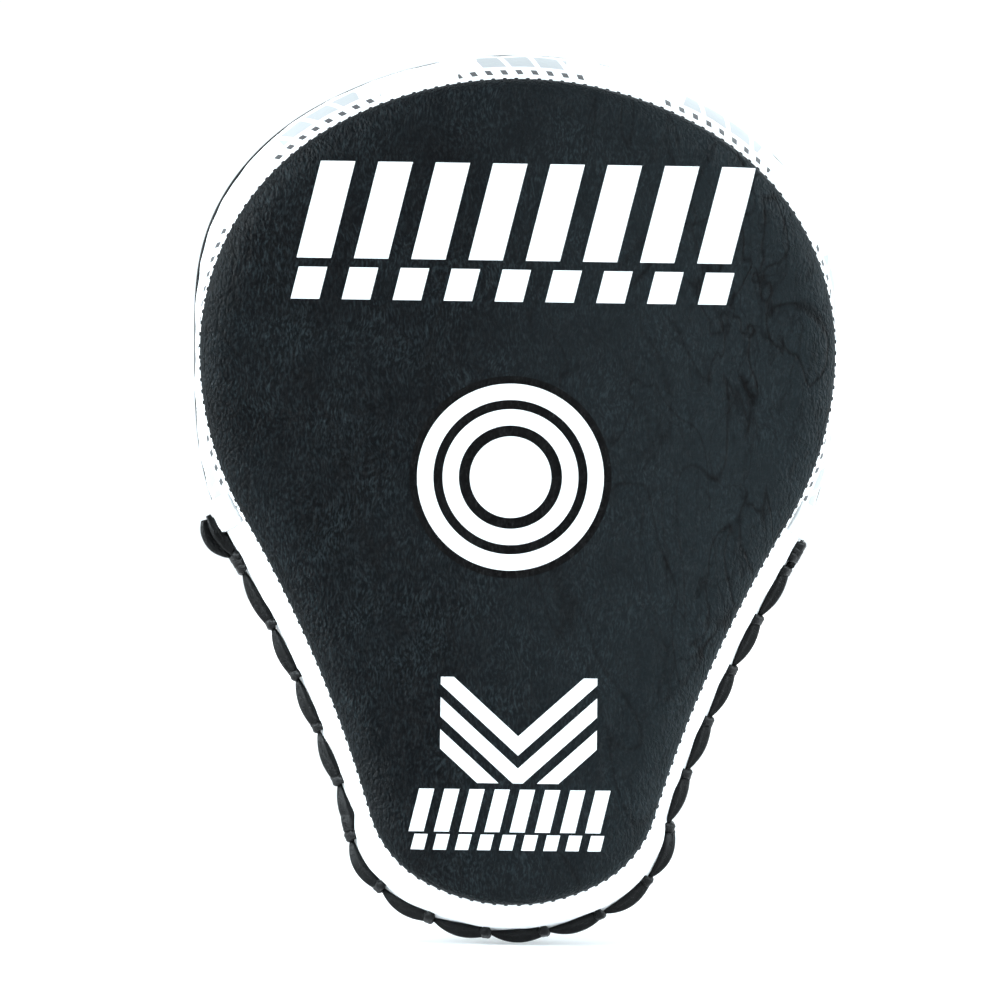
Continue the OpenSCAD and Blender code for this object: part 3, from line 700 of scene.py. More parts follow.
WHITE_THREAD = ribbed("white_thread", (0.6, 0.6, 0.6, 1), (0.85, 0.85, 0.85, 1), 0.5, 0.08, 0.6)

# ---- Striking face: a dense skin with a rolled rim, hollow inside.
COLUMNS = samples(-HALF_LENGTH, HALF_LENGTH, 1.5)[:-1]
MIDDLE_Z = -5
RIM = 12
SEAM_PITCH = 3.6


def relief(x, z):
    """Slow waves of the leather over the foam."""
    spot = (x, 0, z)
    return 0.5 * lumps(spot, 42, 1.7) + 0.2 * lumps(spot, 15, 4.1) + 0.07 * lumps(spot, 6, 9.2)


def scaled_ring(start_out, share, depth, side=-1, amount=1.0):
    """The outline, drawn in toward the pad's middle."""
    ring = []
    for s in COLUMNS:
        x, z, nx, nz = place(s)
        x = (x + start_out * nx) * share
        z = MIDDLE_Z + (z + start_out * nz - MIDDLE_Z) * share
        ring.append(Vector((x, depth_y(depth, z) + side * amount * relief(x, z), z)))
    return ring


def rim_ring(quarter, reach, top, drop):
    """Ring of an elliptical roll: quarter runs from 0 on the flat to 1 at the seam."""
    out = -RIM + reach * math.sin(quarter * math.pi / 2)
    depth = top + drop * (1 - math.cos(quarter * math.pi / 2))
    ring = []
    for s in COLUMNS:
        p = pad_point(s, out, 0, depth)
        p.y -= (1 - quarter) * relief(p.x, p.z)
        nx, nz = place(s)[2:]
        pucker = 0.1 * quarter ** 4 * math.cos(2 * math.pi * s / SEAM_PITCH)
        sway = 0.3 * quarter * (1 - quarter) * 4 * lumps((p.x, p.y, p.z), 17, 3.3)
        p += Vector((nx, 0, nz)) * (pucker + sway)
        ring.append(p)
    return ring


def face_rings():
    rings = [scaled_ring(-RIM, share, 0) for share in samples(0.01, 0.985, 0.022)]
    rings += [rim_ring(q, RIM, 0, SEAM_DEPTH) for q in samples(0, 1, 0.055)]
    rings += [rim_ring(q, RIM - LEATHER_T, LEATHER_T, SEAM_DEPTH - LEATHER_T)
              for q in (1, 0.75, 0.5, 0.25, 0)]
    rings += [scaled_ring(-RIM, share, LEATHER_T) for share in (0.8, 0.6, 0.4, 0.2, 0.01)]
    return rings


new_piece("striking_face", *loft(face_rings()), FACE, "face_leather", replaces=("face_panel",))


def edge_stitches(out, depth, share, pitch, length, width):
    """Stitches all the way around the pad."""
    spots = samples(-HALF_LENGTH, HALF_LENGTH, 0.9)
    path = [pad_point(s, out, share, depth) for s in spots]
    ups = [Vector((place(s)[2], -0.3, place(s)[3])) for s in spots]
    return seam(path, ups, pitch, length, width, 0.8)


new_piece("face_seam_stitches", *edge_stitches(-0.05, SEAM_DEPTH - 0.2, 0, SEAM_PITCH, 1.3, 0.6),
          THREAD, "black_leather")

# ---- Side walls: swollen bands of white leather.
WALL_ROWS = 20
WALL_DEPTHS = samples(SEAM_DEPTH, EDGE_DEPTH, (EDGE_DEPTH - SEAM_DEPTH) / WALL_ROWS)
WALL_INNER_DEPTHS = samples(EDGE_DEPTH, SEAM_DEPTH, 5)


def wall_out(s, depth, flange):
    """How far the leather stands out of the smooth wall: puckers, folds, the sunk seam and the rear lip."""
    from_seam, rear = depth - SEAM_DEPTH, EDGE_DEPTH - depth
    pucker = 0.16 * math.cos(2 * math.pi * s / SEAM_PITCH) * math.exp(-(from_seam / 2.5) ** 2)
    pucker += 0.35 * lumps(pad_point(s, 0, wall_share(depth), depth), 6, 2.2) * math.exp(-(rear / 7) ** 2)
    folds = 0.45 * lumps((s, depth * 0.45, 0), 8, 5.1) * math.sin(math.pi * min(1, from_seam / 12) / 2)
    sunk = -0.5 * math.exp(-(from_seam / 0.8) ** 2)
    return pucker + folds + sunk + flange * math.exp(-(rear / 0.9) ** 2)


def wall(name, start, end, material, replaced, flange=0.0):
    sections, lay = [], []
    for s in samples(start, end, 0.9):
        section = [pad_point(s, wall_out(s, depth, flange), wall_share(depth), depth)
                   for depth in WALL_DEPTHS]
        section += [pad_point(s, -LEATHER_T - 0.3, wall_share(depth), depth)
                    for depth in WALL_INNER_DEPTHS]
        lay += [(s, depth, 0) for depth in WALL_DEPTHS + WALL_INNER_DEPTHS]
        sections.append(section)
    points, faces = loft(sections, ends="flat")
    new_piece(name, points, faces, material, "white_leather", replaces=(replaced,), lay=lay)


wall("side_wall_upper", -JOINT_S, JOINT_S, WHITE_PRINTED, "gusset_upper")
wall("side_wall_lower", JOINT_S + 0.3, 2 * HALF_LENGTH - JOINT_S - 0.3, WHITE_PLAIN, "gusset_lower",
     flange=0.9)


TAB_HALF_W = 5.2


def seam_tab(name, side, replaced):
    """Leather tab over the joint of the two walls, with a row of stitches along each long side."""
    middle, half = side * JOINT_S, TAB_HALF_W
    columns = samples(middle - half, middle + half, 0.5)
    rows = samples(SEAM_DEPTH + 2, EDGE_DEPTH - 2, 0.8)
    outer, inner = [], []
    for s in columns:
        edge = 1 - abs(s - middle) / half
        swell = 1.35 * min(1, edge / 0.12) ** 0.5
        groove = 0.3 * math.exp(-((edge - 0.25) / 0.08) ** 2)
        outer.append([pad_point(s, 0.25 + swell - groove + 0.12 * lumps((s, d, 0), 4), wall_share(d), d)
                      for d in rows])
        inner.append([pad_point(s, 0.1, wall_share(d), d) for d in rows])
    new_piece(name, *plate(outer, inner), WHITE_PLAIN, "white_leather", replaces=(replaced,))
    threads = []
    for s in (middle - 0.75 * half, middle + 0.75 * half):
        normal = Vector((place(s)[2], 0, place(s)[3]))
        path = [pad_point(s, 1.35, wall_share(d), d) for d in rows]
        threads.append(seam(path, [normal] * len(path), 2.6, 1.9, 0.55, 0.5))
    new_piece(name + "_stitches", *join(threads), WHITE_THREAD, "white_leather")


seam_tab("joint_tab_left", -1, "seam_tab_left")
seam_tab("joint_tab_right", 1, "seam_tab_right")


PIPING_R = 1.15


def piping_out(s):
    """The piping stands proudest at the upper left."""
    return -0.85 + 0.6 * math.exp(-((s + 105) / 40) ** 2)


piping_path = [pad_point(s, piping_out(s), 1, EDGE_DEPTH + 0.9) for s in samples(-JOINT_S, JOINT_S, 2)]
new_piece("edge_piping", *tube(piping_path, [PIPING_R] * len(piping_path)), SOFT_BLACK, "black_leather",
          replaces=("rear_piping",))

# ---- Back panel.
BACK_ROLL = 11.8


def back_ring(quarter, out, depth_in):
    """Ring of the back panel's roll: quarter runs from 0 at the edge to 1 on the flat."""
    ring = []
    share = max(math.cos(quarter * math.pi / 2), 0) ** 0.8
    depth = PAD_T - depth_in - (BACK_ROLL - depth_in) * (1 - math.sin(quarter * math.pi / 2))
    for s in COLUMNS:
        sway = 0.3 * math.sin(math.pi * quarter) * lumps((s, depth, 0), 14, 6.6)
        ring.append(pad_point(s, out - 3 * quarter ** 6 + sway, share, depth))
    return ring


def back_rings():
    rings = [scaled_ring(-3, share, PAD_T - LEATHER_T, 1, 0.5) for share in (0.01, 0.3, 0.6, 0.85)]
    rings += [back_ring(q, -1.7, LEATHER_T) for q in (0.97, 0.8, 0.6, 0.4, 0.2, 0)]
    rings += [back_ring(q, 0, 0) for q in samples(0, 1, 0.06)]
    rings += [scaled_ring(-3, share, PAD_T, 1, 0.5) for share in samples(0.975, 0.01, 0.025)]
    return rings


new_piece("back_leather", *loft(back_rings()), BLACK, "black_leather", replaces=("back_panel",))
new_piece("back_edge_stitches", *edge_stitches(0.1, PAD_T - 6, 0.93, 4.2, 3.0, 0.8), THREAD, "black_leather")

# ---- Edge lace: flat leather lace, wound around the edge at each knot.
KNOT_PITCH, KNOTS, LACE_SHIFT, FIRST_STEP, LAST_STEP = 18.2, 9, 1.8, 4.2, 7
END_TURNS, TURNS, END_SPREAD, SPREAD, KNOT_BULK = 3.6, 1.7, 7.6, 3.2, 1.6
# Free ends: places (along the edge, outward, back) from a knot, widths, thickness and fold.
TAIL = (((-2.5, 1.6, -1), (-5, 2.7, -1.4), (-8.8, 3.8, -1.6), (-13, 4.1, -1.4), (-16.6, 3.6, -1.0)),
        (1.2, 2.7, 3.9, 3.6, 2.3), 0.45, 0.35)
LOWER_TAIL = (((-3.0, 1.4, -3.2), (-7, 2.0, -3.9), (-12, 2.6, -3.9), (-17.6, 3.0, -3.0)),
              (0.9, 1.8, 1.9, 0.8), 0.6, 0.2)
FAR_END = (((0.5, 1.3, 1.5), (3, 1.3, 2.6), (5, 1.0, 4), (7.5, 0.8, 5.4)), (0.9, 1.1, 1.0, 0.6), 0.6, 0.2)

knots = [(k + 0.5) * KNOT_PITCH + LACE_SHIFT for k in range(-KNOTS, KNOTS)]
knots[0] -= FIRST_STEP
knots.append(knots[-1] + LAST_STEP)


# Distance along the swollen edge from the bottom centre, and the outline length at each such place.
EDGE_SPOTS = samples(HALF_LENGTH, 0, 1.0)
EDGE_FAR = distances([pad_point(s, 0, 1, EDGE_DEPTH) for s in EDGE_SPOTS])


def lace_point(e, out, depth):
    """Point beside the edge at a distance from the bottom centre, +X side positive."""
    k = min(bisect.bisect_right(EDGE_FAR, abs(e)), len(EDGE_FAR) - 1)
    f = (abs(e) - EDGE_FAR[k - 1]) / (EDGE_FAR[k] - EDGE_FAR[k - 1])
    s = EDGE_SPOTS[k - 1] + (EDGE_SPOTS[k] - EDGE_SPOTS[k - 1]) * f
    return pad_point(-s if e < 0 else s, out, 1, EDGE_DEPTH + depth)


def outward(e):
    return unit(lace_point(e, 1, 0) - lace_point(e, 0, 0))


def lace_run(start, end, thick):
    """Folded strip between two knots: thin where it leaves a hole, full where the next knot grips it."""
    spots = samples(start, end, 0.55)
    path, radii = [], []
    for i, e in enumerate(spots):
        f = i / (len(spots) - 1)
        belly = math.sin(math.pi * min(1, f / 1.35)) ** 0.75
        path.append(lace_point(e, 1.5 + 0.9 * math.sin(math.pi * f), 0.6 - 1.3 * f))
        radii.append(0.45 + thick * belly)
    return tube(path, radii, 16, 0.62, lambda k: Vector((0, -1, 0)) + 0.55 * outward(spots[k]), 0.35)


def lace_knot(centre, turns, spread):
    """Turns of lace around the edge, from the side wall over to the back panel."""
    steps = int(26 * turns)
    path, radii = [], []
    for i in range(steps + 1):
        f = i / steps
        turn = 2 * math.pi * turns * f
        out, depth = -0.4 + 2.95 * math.cos(turn), 4.4 * math.sin(turn)
        path.append(lace_point(centre + spread * (f - 0.5), out, depth))
        radii.append(KNOT_BULK * (1 + 0.16 * math.sin(5.3 * turn + centre)))
    return tube(path, radii, 12, 0.75, outward(centre), 0.15)


def lace_blade(knot, steps, widths, thick, fold):
    """Free end of the lace: a pointed folded blade."""
    path = catmull([lace_point(knot + e, out, depth) for e, out, depth in steps], 6)
    sizes = catmull([(w, 0, 0) for w in widths], 6)
    return tube(path, [max(w.x, 0.15) for w in sizes], 16, thick, Vector((0, -1, 0)), fold)


def lace_parts():
    parts = []
    first, final = knots[0], knots[-1]
    for i, (knot, following) in enumerate(zip(knots, knots[1:] + [None])):
        at_end = knot in (first, final)
        parts.append(lace_knot(knot, END_TURNS if at_end else TURNS, END_SPREAD if at_end else SPREAD))
        if following is not None:
            thick = 2.0 if following - knot > 10 else 0.9
            parts.append(lace_run(knot + (3.2 if i == 0 else 1.2), following - 0.9, thick))
    for knot, shape in ((first, TAIL), (first, LOWER_TAIL), (final, FAR_END)):
        parts.append(lace_blade(knot, *shape))
    return join(parts)


new_piece("lace", *lace_parts(), LACE, "lace_leather", replaces=("edge_lace",))

# ---- The foams, the latex sheet and the ring stay as the CAD made them.
KEPT_NODES = {"impact_foam": FOAM, "core_foam": FOAM, "backing_foam": FOAM, "latex_sheet": LATEX,
              "hood_padding": FOAM, "palm_ball_foam": FOAM, "strap_ring": STEEL}
for node, material in KEPT_NODES.items():
    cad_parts[node].data.materials.clear()
    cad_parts[node].data.materials.append(material)


def on_back(x, y, z, middle):
    """Place on the back panel, level with it at z = middle; y is the height over it."""
    lean = math.asin(middle / BACK_R)
    return Vector((x, depth_y(PAD_T, middle) + y * math.cos(lean) - z * math.sin(lean),
                   middle + y * math.sin(lean) + z * math.cos(lean)))


# ---- Finger hood.
HOOD_INSET, HOOD_PROFILE = 8, ((0, 0), (1.5, 8), (5, 17), (11, 25), (20, 31), (34, 35.5), (55, 38))
HOOD_MOUTH_STEPS, HOOD_SIDE_STEPS, HOOD_ACROSS = 24, 110, 30
HOOD_LEATHER_T, HOOD_FABRIC, HOOD_FABRIC_T = 1.8, 9.2, 1.0
MOUTH_MIDDLE_Z, MOUTH_RISE, MOUTH_HALF_W = 18, 18, 92
QUILT_LINES = ((7, 1.5), (32, 2.4))         # height above the mouth, width of the dip
SPINE_GAP = 2.4
hood_curve = catmull([(s, h, 0) for s, h in HOOD_PROFILE], 6)
HOOD_TOP_X = place(WIDEST_S)[0] - HOOD_INSET - HOOD_PROFILE[-1][0]


def mouth_z(x):
    return MOUTH_MIDDLE_Z + MOUTH_RISE * (1 - (x / MOUTH_HALF_W) ** 2)


def hood_spot(k, inward):
    """(inward step, height) of the profile, moved inward along its own normal."""
    v = heading(hood_curve, k)
    n = Vector((v.y, -v.x, 0)).normalized()
    p = hood_curve[k] + inward * n
    return p.x, max(0.0, p.y)


def hood_at(x, z, height):
    return Vector((x, depth_y(PAD_T + 0.2 + height, z), z))


def even_place(s):
    """Outline place and normal, evened out over 18 mm so that deep offsets stay smooth."""
    near = [place(s + 3 * i) for i in range(-3, 4)]
    return [sum(spot[j] for spot in near) / len(near) for j in range(4)]


def hood_side(k, inward):
    """(x, z, height) down one profile ring, from the mouth to the top centre, on the +X side."""
    step, height = hood_spot(k, inward)
    out = -HOOD_INSET - step
    x, z, nx, nz = even_place(WIDEST_S)
    x, z = x + out * nx, z + out * nz
    low = mouth_z(x)
    ring = [(x, low + (z - low) * i / HOOD_MOUTH_STEPS, height) for i in range(HOOD_MOUTH_STEPS)]
    for s in samples(WIDEST_S, 0, WIDEST_S / HOOD_SIDE_STEPS):
        px, pz, nx, nz = even_place(s)
        ring.append((px + out * nx, pz + out * nz, height))
    return ring


def hood_grid(inward, puff=None):
    """Rows from the mouth to the top; each row goes up the +X side, across, and down the -X side."""
    sides = [hood_side(k, inward) for k in range(len(hood_curve))]
    rows = []
    for i in range(len(sides[0])):
        right = [side[i] for side in sides]
        top_x, top_z, top_h = right[-1]
        across = [(top_x * (1 - 2 * j / HOOD_ACROSS), top_z, top_h) for j in range(1, HOOD_ACROSS)]
        row = right + across + [(-x, z, h) for x, z, h in reversed(right)]
        rows.append([hood_at(x, z, h + (puff(x, z, h) if puff else 0)) for x, z, h in row])
    return rows


def above_mouth(x, z):
    return z - mouth_z(max(abs(x), HOOD_TOP_X))


def hood_puff(x, z, h):
    """Padding swells between the sewn lines: one behind the mouth, one in the middle, one up the centre."""
    if h < 0.5:
        return 0.0
    from_mouth = above_mouth(x, z)
    lift = min(1.0, h / 12)
    swell = 0.5 + 0.45 * lumps((x, h, z), 22, 8.8) + 0.12 * lumps((x, h, z), 7, 3.8)
    for line, width in QUILT_LINES:
        swell -= 1.5 * math.exp(-((from_mouth - line) / width) ** 2)
    if from_mouth > QUILT_LINES[0][0]:
        swell -= math.exp(-(x / 1.6) ** 2)
    return swell * lift


def line_above_mouth(grid, distance):
    """Path across a grid at a height above the mouth."""
    path = []
    for column in zip(*grid):
        for a, b in zip(column, column[1:]):
            low, high = above_mouth(a.x, a.z), above_mouth(b.x, b.z)
            if high >= distance:
                path.append(a.lerp(b, (distance - low) / (high - low)))
                break
    return path


hood_outer = hood_grid(0, hood_puff)
hood_fabric = hood_grid(HOOD_FABRIC), hood_grid(HOOD_FABRIC + HOOD_FABRIC_T)
hood_points, hood_faces = plate(hood_outer, hood_grid(HOOD_LEATHER_T), False)
hood_skin = BVHTree.FromPolygons([Vector(p) for p in hood_points], hood_faces)
new_piece("hood_leather", hood_points, hood_faces, BLACK, "black_leather",
          replaces=("hood_shell",), merge=True)
new_piece("hood_inner_fabric", *plate(*hood_fabric, False), LINING, "lining_fabric",
          replaces=("hood_lining",), merge=True)


def hood_up(p):
    return unit(p - Vector((0, -25, 50)))


def laid_on_hood(path):
    """The path, made dense and dropped onto the hood's skin."""
    laid = []
    for p in catmull(path, 6):
        hit = hood_skin.ray_cast(p + 8 * hood_up(p), -hood_up(p))[0]
        laid.append(hit or p)
    return laid


def hood_seam(path):
    line = laid_on_hood(path)
    return seam(line, [hood_up(p) for p in line], 3.8, 2.8, 0.75, 0.6, 0.15)


hood_threads = [hood_seam(line_above_mouth(hood_outer, height)) for height, width in QUILT_LINES]
hood_middle = len(hood_outer[0]) // 2
spine = [row[hood_middle] for row in hood_outer if row[hood_middle].z > mouth_z(0) + 8][::4]
spine += [hood_outer[-1][k] for k in range(len(hood_curve) - 1, 8, -1)]
for offset in (-SPINE_GAP, SPINE_GAP):
    hood_threads.append(hood_seam([p + Vector((offset, 0, 0)) for p in spine]))
new_piece("hood_stitches", *join(hood_threads), GREY_THREAD, "black_leather")

mouth_path = [a.lerp(b, 0.5) + Vector((0, 0, -0.4)) for a, b in zip(hood_outer[0], hood_fabric[1][0])]


def mouth_up(k):
    return unit(hood_outer[0][k] - mouth_path[k])


new_piece("hood_mouth_tape", *flat_tube(mouth_path, mouth_up, 5.6, 1.9), TAPE, "binding_tape",
          replaces=("hood_binding",))


# ---- Bands: strips bent in X and Y and laid along the arm.
def bent_path(corners, radii, step=1.2):
    """Rounded path through corners, as (point, outward normal); the outside is on the left."""
    points = [Vector(corners[0])]
    for a, b, c, r in zip(corners, corners[1:], corners[2:], radii):
        a, b, c = Vector(a), Vector(b), Vector(c)
        into, out = (b - a).normalized(), (c - b).normalized()
        turn = math.atan2(into.x * out.y - into.y * out.x, into.dot(out))
        start = b - into * r * math.tan(abs(turn) / 2)
        side = math.copysign(1, turn)
        centre = start + Vector((-into.y, into.x)) * r * side
        for i in range(13):
            points.append(centre + Matrix.Rotation(turn * i / 12, 2) @ (start - centre))
    points.append(Vector(corners[-1]))
    far = distances(points)
    result = []
    for s in samples(0, far[-1], step):
        k = min(max(bisect.bisect_right(far, s) - 1, 0), len(points) - 2)
        while far[k + 1] - far[k] < 1e-6 and k > 0:
            k -= 1
        result.append(points[k].lerp(points[k + 1], (s - far[k]) / max(far[k + 1] - far[k], 1e-6)))
    turns = [heading(result, k).normalized() for k in range(len(result))]
    return [(p, Vector((-t.y, t.x))) for p, t in zip(result, turns)]


def band_grids(path, low, high, half, put, edge=1.0, ends=(0.0, 0.0), puff=None, across=1.5, corner=0.0):
    """Outer and inner grid of a band; edge rounds its long sides, ends its two ends."""
    middle, thick = (low + high) / 2, (high - low) / 2
    outer, inner = [], []
    far = distances([p for p, n in path])
    for (p, n), s in zip(path, far):
        from_ends = (s, far[-1] - s)
        share = 1.0
        for gap, size in zip(from_ends, ends):
            if size and gap < size:
                share *= math.sqrt(max(0.05, 1 - (1 - gap / size) ** 2))
        width = half
        if corner and from_ends[1] < corner:
            width -= corner - math.sqrt(max(0, corner ** 2 - (corner - from_ends[1]) ** 2))
        top, bottom = [], []
        count = max(4, round(2 * half / across))
        for i in range(count + 1):
            v = -math.cos(math.pi * i / count) * 0.35 + (2 * i / count - 1) * 0.65
            v *= width
            rim = max(0.0, (abs(v) - (width - edge)) / edge) if edge else 0.0
            full = share * math.sqrt(max(0.05, 1 - rim * rim))
            lift = puff(s, v) * full if puff else 0.0
            top.append(put(*(p + n * (middle + thick * full + lift)), v))
            bottom.append(put(*(p + n * (middle - thick * full)), v))
        outer.append(top)
        inner.append(bottom)
    return outer, inner


def band(name, grids, material, slot, replaces=(), body="root"):
    return new_piece(name, *plate(*grids), material, slot, body, replaces)


def grid_line(grid, share):
    """Path along a grid's rows at a share of its width, with the surface's normals."""
    column = share * (len(grid[0]) - 1)
    j = min(int(column), len(grid[0]) - 2)
    path = [row[j].lerp(row[j + 1], column - j) for row in grid]
    ups = []
    for k, row in enumerate(grid):
        ups.append(unit((row[j + 1] - row[j]).cross(heading(path, k))))
    return path, ups


def row_line(grid, index):
    """One of a grid's rows, with the surface's normals."""
    row = grid[index]
    ups = [unit(heading(row, j).cross(heading(column, index))) for j, column in enumerate(zip(*grid))]
    return list(row), ups


def thread_on(name, lines, body="root", lift=0.12):
    threads = [seam(path, ups, 3.4, 2.5, 0.7, 0.55, lift) for path, ups in lines]
    return new_piece(name, *join(threads), GREY_THREAD, "black_leather", body)


# ---- Wrist cuff.
CUFF_Z, CUFF_HALF_W, CUFF_H, CUFF_R, CUFF_LEN, CUFF_GAP = -84, 38, 50, 15, 56, 12


def at_cuff(x, y, z):
    return on_back(x, y, z, CUFF_Z)


def cuff_route(inset):
    w, top, low = CUFF_HALF_W - inset, CUFF_H - inset, 0.1 + inset
    corners = [(CUFF_GAP, top), (w, top), (w, low), (-w, low), (-w, top), (-CUFF_GAP, top)]
    return bent_path(corners, (CUFF_R - inset, 5, 5, CUFF_R - inset), 1.5)


def cuff_puff(s, v):
    edge = CUFF_LEN / 2 - abs(v)
    groove = 0.7 * math.exp(-((edge - 6) / 1.1) ** 2)
    return 0.25 + 0.35 * lumps((s, v, 0), 14, 2.9) + 0.12 * lumps((s, v, 0), 5, 5.5) - groove


cuff_outer = band_grids(cuff_route(0), -1.8, -0.35, CUFF_LEN / 2, at_cuff, 1.2, (1.0, 1.0), cuff_puff)
band("cuff_leather", cuff_outer, SOFT_BLACK, "black_leather", ("cuff_shell",))
cuff_inner = band_grids(cuff_route(1.9), -4, 0, CUFF_LEN / 2 - 1, at_cuff, 2.2, (2.0, 2.0))
band("cuff_inner_fabric", cuff_inner, LINING, "lining_fabric", ("cuff_lining",))
thread_on("cuff_stitches", [grid_line(cuff_outer[0], f) for f in (0.12, 0.88)])


def cuff_tape():
    """Tape around the cuff's cut edges: along one end, across the gap's edge and back along the other."""
    route = cuff_route(2.9)
    half = CUFF_LEN / 2 - 0.3
    path, normals = [], []
    for v, way in ((half, route), (-half, route[::-1])):
        for p, n in way:
            path.append(at_cuff(*p, v))
            normals.append(at_cuff(*(p + n), v) - path[-1])
        for across in samples(v, -v, 2)[1:-1]:
            path.append(at_cuff(*way[-1][0], across))
            normals.append(normals[-1])
    rings = []
    for k, p in enumerate(path):
        a = unit(normals[k])
        b = unit(unit(heading(path, k, True)).cross(a))
        rings.append(flat_ring(p, a, b, 3.3, 1.5, 12))
    return loft(rings + [rings[0]], ends=None)


new_piece("cuff_edge_tape", *cuff_tape(), TAPE, "binding_tape", merge=True)

# ---- Strap, closure patches, tab and ring fold.
STRAP_HALF, STRAP_T, STRAP_OFF, LOOP_R = 22, 1.8, 0.2, 1.55
BAR_X, TAB_BAR_X, BAR_Y = -4, -18, 53.55
FLAP_OFF = STRAP_OFF + STRAP_T + 2 * LOOP_R
PATCH_T = (2 * LOOP_R - 0.5) / 2
LEG = 4


def over_corner(x0, offset, wrap):
    """Corners of a path over the cuff's +X corner, bent by wrap degrees."""
    r, y, turn = CUFF_R + offset, CUFF_H + offset, math.radians(wrap)
    cut = r * math.tan(turn / 2)
    corner_x = CUFF_HALF_W - CUFF_R + cut
    end = (corner_x + cut * math.cos(turn), y - cut * math.sin(turn))
    return bent_path([(x0, y), (corner_x, y), end], (r,))


def webbing_puff(s, v):
    return 0.1 * math.exp(-((STRAP_HALF - 2 - abs(v)) / 0.9) ** 2) + 0.08 * lumps((s, v, 0), 9, 1.1)


def crosses(piece, first, second, start, end):
    """Bakes the transform of a piece that rides on no body into its mesh; the two bodies and the joint's ends
    are not used.
    """
    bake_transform(piece)


STRAP_BEND = ("root", "ring", (20, 51), (-2, 51))
FOLD_BEND = ("ring", "flap", (BAR_X, BAR_Y - 1.6), (BAR_X, BAR_Y + 1.6))

low_y = CUFF_H + STRAP_OFF
side_x = CUFF_HALF_W + STRAP_OFF
strap_path = bent_path([(BAR_X + LEG, low_y), (side_x, low_y), (side_x, 12)], (CUFF_R + STRAP_OFF,))
strap_grids = band_grids(strap_path, 0, STRAP_T, STRAP_HALF, at_cuff, 0.9, (0.0, 1.2), webbing_puff, 1.2)
crosses(band("closure_strap", strap_grids, WEBBING, "strap_webbing", ("wrist_strap",), None), *STRAP_BEND)

anchor_rows = [len(strap_path) - k for k in (3, 8, 13)]
anchor = [row_line(strap_grids[0], k) for k in anchor_rows]
anchor += [(path[-14:-2], ups[-14:-2]) for path, ups in (grid_line(strap_grids[0], f) for f in (0.09, 0.91))]
thread_on("strap_anchor_stitches", anchor)

loop_path = over_corner(BAR_X + LEG + 1, STRAP_OFF + STRAP_T + 0.1, 48)
loop_grids = band_grids(loop_path, 0, PATCH_T, STRAP_HALF - 3, at_cuff, 0.8, (0.8, 0.8),
                        lambda s, v: 0.12 * lumps((s, v, 0), 1.6, 7.7))
crosses(band("loop_tape", loop_grids, LOOPS, "loop_pile", ("loop_patch",), None), *STRAP_BEND)
loop_lines = [grid_line(loop_grids[0], f) for f in (0.06, 0.94)]
crosses(thread_on("loop_tape_stitches", loop_lines, None, 0.05), *STRAP_BEND)

fold_corners = [(BAR_X + a, BAR_Y + b)
                for a, b in ((LEG, -LOOP_R), (-LOOP_R, -LOOP_R), (-LOOP_R, LOOP_R), (LEG, LOOP_R))]
fold_path = bent_path(fold_corners, (LOOP_R - 0.01, LOOP_R - 0.01), 0.5)
fold_grids = band_grids(fold_path, 0, STRAP_T, STRAP_HALF, at_cuff, 0.9, (0, 0), webbing_puff, 1.2)
crosses(band("strap_bend", fold_grids, WEBBING, "strap_webbing", ("strap_fold",), None), *FOLD_BEND)

flap_path = over_corner(BAR_X + LEG, FLAP_OFF, 60)
flap_grids = band_grids(flap_path, 0, STRAP_T, STRAP_HALF, at_cuff, 0.9, (0.0, 1.2), webbing_puff, 1.2, 5)
band("closure_flap", flap_grids, WEBBING, "strap_webbing", ("strap_flap",), "flap")
hook_path = over_corner(BAR_X + LEG + 1, FLAP_OFF - 0.1 - PATCH_T, 48)
hook_grids = band_grids(hook_path, 0, PATCH_T, STRAP_HALF - 3, at_cuff, 0.8, (0.8, 0.8))
band("hook_tape", hook_grids, HOOKS, "hook_pile", ("hook_patch",), "flap")
flap_rows = [row_line(flap_grids[0], k) for k in (2, len(flap_path) - 8)]
flap_lines = [grid_line(flap_grids[0], f) for f in (0.1, 0.9)]
thread_on("flap_stitches", flap_rows + [(p[:-6], u[:-6]) for p, u in flap_lines], "flap")

r_out = LOOP_R + STRAP_T
tab_end, tab_high = TAB_BAR_X + r_out, low_y + 2 * r_out
tab_path = bent_path([(-side_x + 2.2, 42), (-side_x + 5.4, 47.2), (-26, low_y), (tab_end, low_y),
                      (tab_end, tab_high), (-24, tab_high), (-31.5, 53.2), (-37.2, 48.6)],
                     (10, 10, r_out - 0.01, r_out - 0.01, 6, 14), 0.6)
tab_grids = band_grids(tab_path, 0, STRAP_T, STRAP_HALF, at_cuff, 0.9, (1.0, 1.0), webbing_puff, 1.2)
band("ring_tab_strap", tab_grids, WEBBING, "strap_webbing", ("ring_tab",))


def put_threads_on_tab():
    """Two rows of stitches that hold the tab's upper leg; the grid's inner side faces out there."""
    lines = []
    for back in (4, 14):
        path, ups = row_line(tab_grids[1], len(tab_path) - back)
        lines.append((path, [-u for u in ups]))
    return lines


thread_on("tab_stitches", put_threads_on_tab())

# ---- Thumb sleeve.
THUMB_X, THUMB_Z, THUMB_LEAN, THUMB_R, THUMB_LEN = -57, -14, math.radians(-20), 13, 34


def at_thumb(x, y, z):
    turned = Vector((x * math.cos(THUMB_LEAN) + z * math.sin(THUMB_LEAN), y,
                     -x * math.sin(THUMB_LEAN) + z * math.cos(THUMB_LEAN)))
    return on_back(THUMB_X + turned.x, 0.4 + turned.y, turned.z, THUMB_Z)


